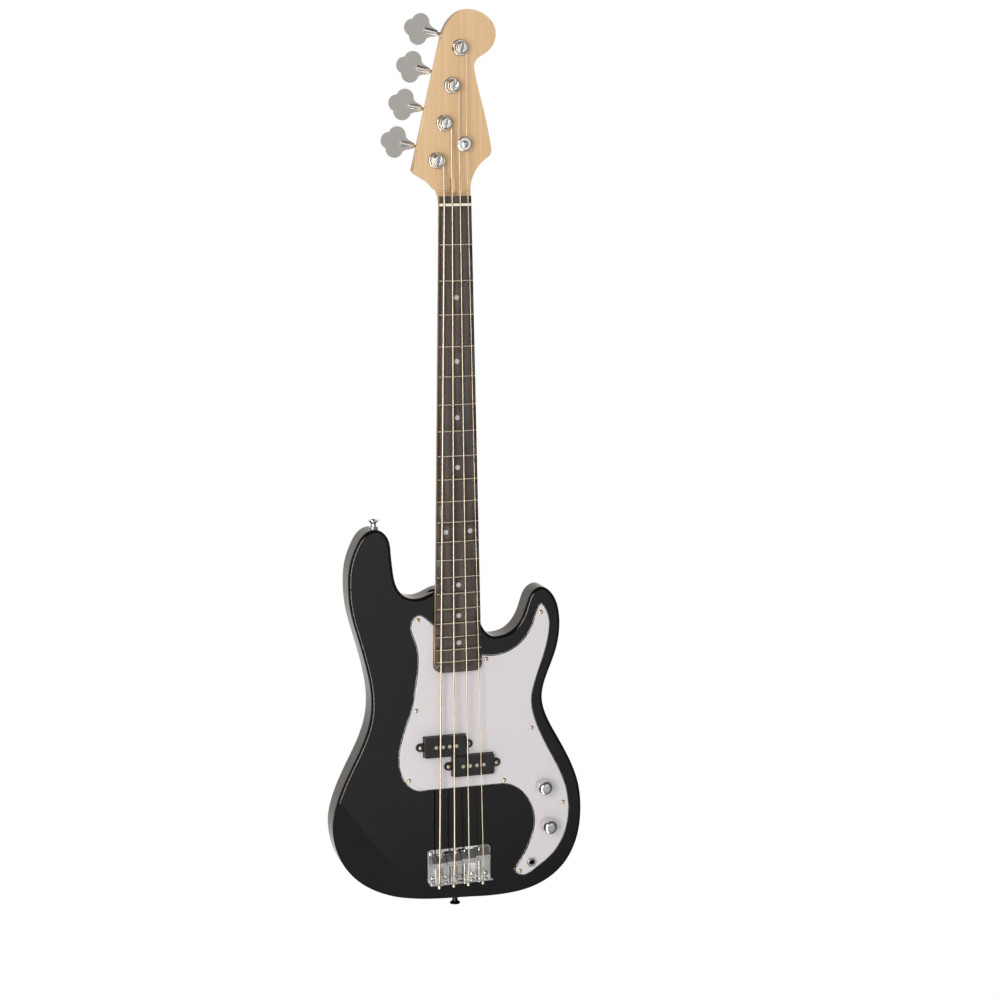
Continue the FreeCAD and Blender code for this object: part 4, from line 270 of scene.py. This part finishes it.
def stretched(place, across, along):
    """Coordinates for a grain that runs up the neck."""
    return place.node("Mapping", None, {"Vector": place, "Scale": (across, across, along)})


def cloud(place, scale, detail=3.0, roughness=0.5):
    """Soft noise from zero to one."""
    return place.node("TexNoise", None, {"Vector": place, "Scale": scale, "Detail": detail,
                                         "Roughness": roughness}, out="Fac")


def relief(shader, height, strength, distance):
    """Fine relief that only bends the light."""
    bump = height.node("Bump", None, {"Height": height, "Strength": strength, "Distance": distance})
    height.feed(shader.inputs["Normal"], bump)


def paint(shader, socket, value):
    """Run a value that changes over the surface into one of the shader's sockets."""
    value.feed(shader.inputs[socket], value)


print("finish, stretched, cloud, relief and paint are ready")

# %% [markdown]
# ### Lacquer
# The body is black and polished. Real lacquer is never quite flat: a slight orange peel and a few duller
# patches where hands rub it break up what it reflects.

# %% Black lacquer
LACQUER_GLOSS = 0.42
lacquer, shader, place = finish("black_lacquer")
shader.inputs["Specular IOR Level"].default_value = LACQUER_GLOSS
rubbed = between(cloud(place, 9.0, 4.0), 0.45, 0.75)
black = mixed(cloud(place, 30.0), (0.0012, 0.0012, 0.0013, 1.0), (0.003, 0.003, 0.0031, 1.0))
paint(shader, "Base Color", black)
paint(shader, "Roughness", 0.045 + 0.05 * rubbed)
relief(shader, cloud(place, 420.0, 2.0), 0.02, 0.0003)
print(lacquer.name)

# %% [markdown]
# ### Maple and dark wood
# Both woods are long streaks: noise that is stretched along the neck. The maple has fine pale lines and
# a few wider growth bands, under a thin satin coat. The walls at the far end of the head are coloured
# darker brown. The fingerboard is an oiled, open-grained dark wood
# with short black pores.

# %% Neck and fingerboard wood
HEAD_FRONT = -0.0166
HEAD_REAR = -0.0033
HEAD_CURVE = 1.125
HEAD_END = 1.145
maple, shader, place = finish("maple", coat=0.2)
fibres = cloud(stretched(place, 330.0, 5.0), 1.0, 5.0, 0.6)
wander = cloud(stretched(place, 20.0, 1.8), 1.0, 3.0)
tone = fibres * 0.45 + wander * 0.55
creams = [(0.3, (0.58, 0.35, 0.165)), (0.48, (0.72, 0.475, 0.25)), (0.66, (0.8, 0.56, 0.33))]
face_wood = place.node("ValToRGB", {"stops": creams}, {"Fac": tone})
corner = place.node("SeparateXYZ", None, {0: place}).socket.node
depth = Flow(maple.node_tree, corner.outputs["Y"])
height = Flow(maple.node_tree, corner.outputs["Z"])
rim = (depth > HEAD_FRONT) * (depth < HEAD_REAR)
# The walls at the far end of the head, above its curve, are tinted darker brown.
darker_head_end = rim * between(height, HEAD_CURVE, HEAD_END)
paint(shader, "Base Color", mixed(darker_head_end * 0.8, face_wood, (0.2, 0.115, 0.055, 1.0)))
paint(shader, "Roughness", 0.32 + 0.16 * fibres)
relief(shader, fibres, 0.06, 0.0002)

dark_wood, shader, place = finish("dark_wood")
streaks = cloud(stretched(place, 190.0, 4.0), 1.0, 7.0, 0.65)
pores = between(cloud(stretched(place, 1500.0, 60.0), 1.0, 2.0), 0.6, 0.7)
browns = [(0.3, (0.036, 0.028, 0.024)), (0.5, (0.076, 0.06, 0.052)), (0.72, (0.122, 0.099, 0.087))]
brown = place.node("ValToRGB", {"stops": browns}, {"Fac": streaks})
paint(shader, "Base Color", mixed(pores * 0.7, brown, (0.016, 0.012, 0.011, 1.0)))
paint(shader, "Roughness", 0.42 + 0.2 * pores)
relief(shader, streaks - pores, 0.15, 0.0002)
print(maple.name, dark_wood.name)

# %% [markdown]
# ### Laminate
# The pickguard is three sheets pressed into one: white, black, white. The layers follow the depth below
# its front, so wherever its edge is cut on a slope the black one shows as a thin line.

# %% Pickguard laminate
BLACK_SHEET_TOP = 0.3
BLACK_SHEET_FOOT = 0.68
guard_low, guard_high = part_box("pickguard")
laminate, shader, place = finish("white_laminate")
depth = place.node("SeparateXYZ", None, {0: place}, out="Y")
below = (depth - guard_low.y) / (guard_high.y - guard_low.y)
middle_sheet = (below > BLACK_SHEET_TOP) * (below < BLACK_SHEET_FOOT)
pale_sheet = mixed(cloud(place, 22.0, 3.0), (0.7, 0.657, 0.668, 1.0), (0.756, 0.714, 0.726, 1.0))
paint(shader, "Base Color", mixed(middle_sheet, pale_sheet, (0.012, 0.012, 0.012, 1.0)))
paint(shader, "Roughness", 0.2 + 0.12 * between(cloud(place, 14.0, 4.0), 0.4, 0.7))
print(laminate.name, "from", round(guard_low.y, 5), "to", round(guard_high.y, 5))

# %% [markdown]
# ### Metals
# Polished chrome, satin nickel, plain steel, fret wire and string winding are all metal. They differ in
# tint, in how rough they are, and in the marks on them: faint wipes on chrome, a fine grain on nickel,
# and the turns of wire that are wound round a bass string.


# %% Metals
def metal(name, dull, bright, smooth, rough, grain, grain_depth):
    """A metal between two tints and two roughnesses, with a fine grain."""
    material, shader, place = finish(name, metallic=1.0)
    smear = cloud(place, 60.0, 4.0)
    paint(shader, "Base Color", mixed(smear, (*dull, 1.0), (*bright, 1.0)))
    paint(shader, "Roughness", smooth + (rough - smooth) * between(cloud(place, 110.0, 3.0), 0.35, 0.75))
    relief(shader, cloud(place, grain, 2.0), grain_depth, 0.0002)
    return material


chrome = metal("polished_chrome", (0.68, 0.68, 0.68), (0.82, 0.82, 0.81), 0.05, 0.13, 700.0, 0.02)
nickel = metal("satin_nickel", (0.53, 0.505, 0.47), (0.6, 0.575, 0.54), 0.3, 0.4, 2600.0, 0.05)
warm_nickel = metal("warm_nickel", (0.5, 0.42, 0.31), (0.62, 0.53, 0.41), 0.26, 0.4, 900.0, 0.03)
pole_metal = metal("pole_metal", (0.74, 0.66, 0.54), (0.84, 0.76, 0.64), 0.26, 0.4, 900.0, 0.03)
steel = metal("plain_steel", (0.42, 0.42, 0.42), (0.55, 0.55, 0.55), 0.25, 0.42, 1800.0, 0.08)
fret_wire = metal("fret_wire", (0.72, 0.65, 0.51), (0.84, 0.77, 0.63), 0.18, 0.3, 2200.0, 0.04)
bright_alloy = metal("bright_alloy", (0.55, 0.55, 0.56), (0.66, 0.66, 0.67), 0.25, 0.4, 1500.0, 0.08)

WINDING_SCALE = 500.0 / math.pi
winding, shader, place = finish("string_winding", metallic=1.0)
turns = place.node("TexWave", {"bands_direction": "Z"}, {"Vector": place, "Scale": WINDING_SCALE}, out="Fac")
paint(shader, "Base Color", mixed(cloud(place, 40.0, 3.0), (0.6, 0.5, 0.385, 1.0), (0.74, 0.64, 0.51, 1.0)))
paint(shader, "Roughness", 0.36 + 0.06 * turns)
relief(shader, turns, 0.05, 0.0002)
print("seven metals and the winding")

# %% [markdown]
# ### Plastics and the rest
# Moulded black plastic covers the pickups. The nut is cream, the position dots are a cloudy grey-white,
# and out of sight are copper coils, foam, covered wire and a small green capacitor. Both strap buttons are
# chrome. The one at the end of the body gets a nearly black tint, a painted dark reflection, and the one on
# the horn stays bright, so the tint is chosen by height.


# %% Plastics
def moulded(name, first, second, roughness, scale, grain, depth):
    """A plastic between two tints, with duller patches and a moulded grain."""
    material, shader, place = finish(name)
    paint(shader, "Base Color", mixed(cloud(place, scale, 4.0), (*first, 1.0), (*second, 1.0)))
    paint(shader, "Roughness", roughness + 0.12 * between(cloud(place, scale * 0.6), 0.35, 0.7))
    relief(shader, cloud(place, grain, 2.0), depth, 0.0002)
    return material


black_plastic = moulded("black_plastic", (0.009, 0.009, 0.0095), (0.014, 0.014, 0.0145),
                        0.3, 80.0, 2500.0, 0.12)
cream = moulded("cream_nut", (0.86, 0.8, 0.6), (0.92, 0.88, 0.71), 0.3, 120.0, 1200.0, 0.05)
pearl = moulded("cloudy_dot", (0.42, 0.41, 0.39), (0.62, 0.61, 0.59), 0.22, 260.0, 900.0, 0.03)
foam = moulded("dark_foam", (0.05, 0.05, 0.05), (0.11, 0.11, 0.11), 0.75, 400.0, 900.0, 0.6)
wire_cover = moulded("wire_cover", (0.02, 0.02, 0.02), (0.04, 0.04, 0.04), 0.45, 300.0, 1800.0, 0.2)
green = moulded("capacitor_green", (0.1, 0.27, 0.13), (0.15, 0.34, 0.18), 0.25, 200.0, 900.0, 0.05)

copper, shader, place = finish("coil_copper", metallic=1.0)
layers = place.node("TexWave", {"bands_direction": "Y"}, {"Vector": place, "Scale": 1200.0}, out="Fac")
paint(shader, "Base Color", mixed(layers, (0.36, 0.13, 0.06, 1.0), (0.6, 0.27, 0.14, 1.0)))
paint(shader, "Roughness", 0.3 + 0.2 * layers)
relief(shader, layers, 0.3, 0.0002)

BETWEEN_BUTTONS = 0.25
button_metal, shader, place = finish("strap_button_metal", metallic=1.0)
high = place.node("SeparateXYZ", None, {0: place}, out="Z") > BETWEEN_BUTTONS
worn = cloud(place, 90.0, 3.0)
# The end button's nearly black tint is a painted dark reflection on chrome.
painted_dark_reflection = mixed(worn, (0.02, 0.02, 0.021, 1.0), (0.04, 0.04, 0.042, 1.0))
bright_plate = mixed(worn, (0.66, 0.66, 0.66, 1.0), (0.8, 0.8, 0.79, 1.0))
paint(shader, "Base Color", mixed(high, painted_dark_reflection, bright_plate))
paint(shader, "Roughness", 0.08 + 0.12 * worn)
print("plastics, copper and the strap buttons' plating")

# %% [markdown]
# ## Smooth copies
# A drawing's mesh is loose triangles. For a polished surface its corners are merged, flat triangles are
# joined, and its normals made to run smoothly over every curve, weighted so that flat faces stay flat.
# Where a large flat runs into a rounded edge, its triangles are kept and marked as strong instead, so that
# they alone set the normals along their border. The smooth copy takes the place of the drawn node and moves
# with the same body.


# %% Copy, merge and smooth
SAME_CORNER = 1e-6
LEVEL_ANGLE = math.radians(0.05)
SAME_WAY = 0.99999
SMOOTH_DEGREES = 40.0
NORMAL_WEIGHT = 50
body_of = {node: name for name, nodes in frame["record"]["behaviour"]["bodies"].items() for node in nodes}


def only(piece):
    """Select this piece and nothing else."""
    bpy.ops.object.select_all(action="DESELECT")
    piece.select_set(True)
    bpy.context.view_layer.objects.active = piece


def merged(node, name, joined=True, least=SAME_CORNER):
    """A copy of a drawn node with its corners merged and, if wanted, its flat triangles joined."""
    piece = bpy.data.objects.new(name, frame["nodes"][node].data.copy())
    scene.collection.objects.link(piece)
    only(piece)
    bpy.ops.object.mode_set(mode="EDIT")
    bpy.ops.mesh.select_all(action="SELECT")
    bpy.ops.mesh.remove_doubles(threshold=least)
    bpy.ops.mesh.dissolve_degenerate(threshold=SAME_CORNER)
    if joined:
        bpy.ops.mesh.dissolve_limited(angle_limit=LEVEL_ANGLE)
    bpy.ops.object.mode_set(mode="OBJECT")
    return piece


def modify(piece, kind, **settings):
    """Add a modifier and apply it."""
    only(piece)
    modifier = piece.modifiers.new(kind.lower(), kind)
    for name, value in settings.items():
        setattr(modifier, name, value)
    bpy.ops.object.modifier_apply(modifier=modifier.name)


def smooth(piece, degrees=SMOOTH_DEGREES):
    """Smooth shading over curves, sharp at corners, and flat faces kept flat."""
    only(piece)
    bpy.ops.object.shade_smooth_by_angle(angle=math.radians(degrees))
    modify(piece, "WEIGHTED_NORMAL", keep_sharp=True, weight=NORMAL_WEIGHT)


def smooth_flats(piece, flats, creased=None):
    """Smooth shading in which flats, named by their normals, rule over the curves beside them.

    The border of the creased flat is sharp all round."""
    only(piece)
    bpy.ops.object.shade_smooth_by_angle(angle=math.radians(SMOOTH_DEGREES))
    bpy.ops.object.mode_set(mode="EDIT")
    bpy.ops.mesh.select_mode(type="FACE")
    bpy.ops.mesh.select_all(action="DESELECT")
    bpy.ops.object.mode_set(mode="OBJECT")
    beside = {}
    for face in piece.data.polygons:
        face.select = any(face.normal.dot(normal) > SAME_WAY for normal in flats)
        inside = creased is not None and face.normal.dot(creased) > SAME_WAY
        for key in face.edge_keys:
            beside.setdefault(key, set()).add(inside)
    for edge in piece.data.edges:
        if len(beside.get(edge.key, ())) == 2:
            edge.use_edge_sharp = True
    bpy.ops.object.mode_set(mode="EDIT")
    bpy.ops.mesh.mod_weighted_strength(set=True, face_strength="STRONG")
    bpy.ops.object.mode_set(mode="OBJECT")
    modify(piece, "WEIGHTED_NORMAL", keep_sharp=True, weight=NORMAL_WEIGHT, use_face_influence=True)


def dress(piece, material):
    """Give a piece one finish all over."""
    piece.data.materials.clear()
    piece.data.materials.append(material)


def polished(node, material, degrees=SMOOTH_DEGREES, flats=None, creased=None):
    """A smooth copy that takes its node's place."""
    piece = merged(node, node + "_smooth", joined=not flats)
    if flats:
        smooth_flats(piece, flats, creased)
    else:
        smooth(piece, degrees)
    dress(piece, material)
    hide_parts(node)
    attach(piece, body_of[node])
    return piece


print("merged, smooth, smooth_flats, dress and polished are ready for", len(body_of), "nodes")

# %% [markdown]
# ## Wood, laminate and plastic
# The body, neck, fingerboard, pickup covers, nut and dots keep their drawn shapes. The big flats of the body
# and the neck rule over the rounded edges beside them. The body's forearm slope leaves its face by ten
# degrees, along a line that runs down to the right.

# %% Wooden and plastic pieces
FRONT = Vector((0, -1, 0))
REAR = Vector((0, 1, 0))
SLOPE_TURN = math.radians(10.0)
SLOPE_LINE = Vector((96.2, 0, -130.9))
slope_way = SLOPE_LINE.normalized()
slope_out = Vector((slope_way.z, 0, -slope_way.x))
forearm = FRONT * math.cos(SLOPE_TURN) + slope_out * math.sin(SLOPE_TURN)
plain_pieces = {"fingerboard": dark_wood, "pickup_covers": black_plastic, "nut": cream,
                "position_dots": pearl}
pieces = [polished("body", lacquer, flats=(FRONT, REAR, forearm), creased=forearm),
          polished("neck", maple, flats=(FRONT, REAR))]
pieces += [polished(node, material) for node, material in plain_pieces.items()]
for piece in pieces:
    print(piece.name, len(piece.data.polygons), "faces")

# %% [markdown]
# ### The pickguard's edge
# A guard is cut with a sloping edge. Among the sharp edges of its front, the outline is the connected run
# that is widest; the others are the holes. The outline gets a bevel weight, and a Bevel modifier limited to
# weighted edges cuts the slope. Corners that lie close together are merged first, which leaves fewer places
# where the slope folds over. A few are left at tight bends of the outline.

# %% Sloping edge
SLOPE = 0.0019
CLOSE_CORNERS = 0.0004
IN_PLANE = 1e-5


def sharp_front_edges(piece, front):
    """Edges on the front plane that have a face beside them and one that turns away."""
    normals = {}
    for face in piece.data.polygons:
        for key in face.edge_keys:
            normals.setdefault(key, []).append(face.normal)
    points = piece.data.vertices
    kept = []
    for edge in piece.data.edges:
        level = max(points[i].co.y for i in edge.vertices)
        pair = normals.get(tuple(sorted(edge.vertices)), [])
        if level < front + IN_PLANE and len(pair) == 2 and pair[0].dot(pair[1]) < 0.5:
            kept.append(edge)
    return kept


def connected_runs(edges):
    """Edges grouped by the corners that they share."""
    beside = {}
    for edge in edges:
        for corner in edge.vertices:
            beside.setdefault(corner, []).append(edge)
    runs = []
    done = set()
    for edge in edges:
        if edge.index in done:
            continue
        run, waiting = [], [edge]
        done.add(edge.index)
        while waiting:
            current = waiting.pop()
            run.append(current)
            for corner in current.vertices:
                for other in beside[corner]:
                    if other.index not in done:
                        done.add(other.index)
                        waiting.append(other)
        runs.append(run)
    return runs


def width_of(piece, run):
    """How far a run of edges reaches from left to right."""
    places = [piece.data.vertices[i].co.x for edge in run for i in edge.vertices]
    return max(places) - min(places)


guard = merged("pickguard", "pickguard_sheet", least=CLOSE_CORNERS)
runs = connected_runs(sharp_front_edges(guard, guard_low.y))
outline = max(runs, key=lambda run: width_of(guard, run))
weights = guard.data.attributes.new("bevel_weight_edge", "FLOAT", "EDGE")
for edge in outline:
    weights.data[edge.index].value = 1.0
modify(guard, "BEVEL", width=SLOPE, segments=1, limit_method="WEIGHT", use_clamp_overlap=False)
smooth(guard, degrees=30.0)
dress(guard, laminate)
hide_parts("pickguard")
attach(guard, "guitar")
print(len(runs), "runs of front edges; the outline has", len(outline), "edges")

# %% [markdown]
# ## Hardware
# Frets, bridge, tuners, buttons and screws are metal. They keep their drawn shapes too, and each moves
# with its own body.

# %% Metal pieces
STRINGS = "eadg"
metal_pieces = {
    "frets": fret_wire, "neck_plate": chrome, "neck_screws": chrome, "pickguard_screws": warm_nickel,
    "pickup_pole_pieces": pole_metal, "pickup_screws": warm_nickel, "bridge_plate": chrome,
    "bridge_screws": chrome, "tuner_plates": nickel, "tuner_bushings": chrome, "tuner_screws": chrome,
    "strap_buttons": button_metal,
    "strap_button_screws": chrome, "control_nuts": chrome, "output_jack": chrome, "string_tree": chrome,
    "string_tree_screw": chrome, "truss_rod_nut": steel, "volume_knob": chrome, "tone_knob": chrome}
for name in STRINGS:
    metal_pieces["tuner_post_" + name] = chrome
    metal_pieces["saddle_" + name] = chrome
    metal_pieces["saddle_height_screws_" + name] = steel
    metal_pieces["intonation_screw_" + name] = chrome
for node, material in metal_pieces.items():
    polished(node, material)
print(len(metal_pieces), "metal pieces")

# %% [markdown]
# ### Output jack
# The inside of the jack is dark: faces that look towards its axis get the black plastic, painted shade in
# the hollow of the socket.

# %% Jack
JACK_AXIS = Vector((0.101, 0, 0.0472))
JACK_HOLLOW = 0.0045
jack = bpy.data.objects["output_jack_smooth"]
jack.data.materials.append(black_plastic)
for face in jack.data.polygons:
    away = face.center - JACK_AXIS
    away.y = 0
    if away.length < JACK_HOLLOW and face.normal.dot(away) < 0:
        face.material_index = 1
print(sum(face.material_index for face in jack.data.polygons), "dark faces")

# %% [markdown]
# ### Tuner keys
# The flat of a key is satin nickel and its round root, shaft and worm are polished. The two are told apart
# by depth: the flat is thin, and lies at the level of the shaft's line.

# %% Keys
KEY_LEVEL = 0.00368
KEY_HALF = 0.0014
for name in STRINGS:
    key = polished("tuner_key_" + name, nickel, degrees=25.0)
    key.data.materials.append(chrome)
    corners = key.data.vertices
    for face in key.data.polygons:
        if max(abs(corners[i].co.y - KEY_LEVEL) for i in face.vertices) > KEY_HALF:
            face.material_index = 1
    print(key.name, sum(face.material_index for face in key.data.polygons), "polished faces")

# %% [markdown]
# ## Inside the body
# What the pickguard and covers hide keeps its drawn mesh and gets its finish.

# %% Hidden pieces
hidden = {"truss_rod": steel, "pickup_coils": copper, "pickup_foam": foam, "potentiometers": bright_alloy,
          "tone_capacitor": green, "wiring": wire_cover, "volume_shaft": bright_alloy,
          "tone_shaft": bright_alloy}
for node, material in hidden.items():
    dress(frame["nodes"][node], material)
print(len(hidden), "hidden pieces")

# %% [markdown]
# ## Strings
# A saddle slides along the string it carries, so one mesh can't follow both. Each string is cut at its
# saddle into a tail, from the bridge to the saddle, and the long run from the saddle to the nut.

# %% Strings
SADDLE_LINE = {"e": 0.0594, "a": 0.0612, "d": 0.063, "g": 0.0648}


def cut_at(piece, height, keep_above):
    """Keep the part of a piece above or below a level, and close the cut."""
    only(piece)
    bpy.ops.object.mode_set(mode="EDIT")
    bpy.ops.mesh.select_all(action="SELECT")
    bpy.ops.mesh.bisect(plane_co=(0, 0, height), plane_no=(0, 0, 1), use_fill=True,
                        clear_inner=keep_above, clear_outer=not keep_above)
    bpy.ops.object.mode_set(mode="OBJECT")


for name in STRINGS:
    node = "string_" + name
    seat = Vector((0, 0, SADDLE_LINE[name]))
    run = merged(node, node + "_run")
    cut_at(run, seat.z, True)
    tail = merged(node, node + "_tail")
    cut_at(tail, seat.z, False)
    for piece in (run, tail):
        smooth(piece, degrees=50.0)
        dress(piece, winding)
        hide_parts(node)
    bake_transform(run)
    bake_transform(tail)
    print(run.name, len(run.data.polygons), tail.name, len(tail.data.polygons))

# %% [markdown]
# ## Springs
# Behind each saddle a spring presses on it. All four are one drawn node, so the copy is separated into
# loose pieces, each between the bridge's wall and its own saddle.

# %% Springs
coils = merged("intonation_springs", "spring")
smooth(coils, degrees=60.0)
dress(coils, steel)
only(coils)
bpy.ops.object.mode_set(mode="EDIT")
bpy.ops.mesh.select_all(action="SELECT")
bpy.ops.mesh.separate(type="LOOSE")
bpy.ops.object.mode_set(mode="OBJECT")
springs = sorted(bpy.context.selected_objects, key=lambda piece: piece.bound_box[0][0])
for name, piece in zip(STRINGS, springs):
    piece.name = "spring_" + name
    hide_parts("intonation_springs")
    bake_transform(piece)

# %% [markdown]
# ## Size
# The view layer is brought up to date.

# %% Size
bpy.context.view_layer.update()
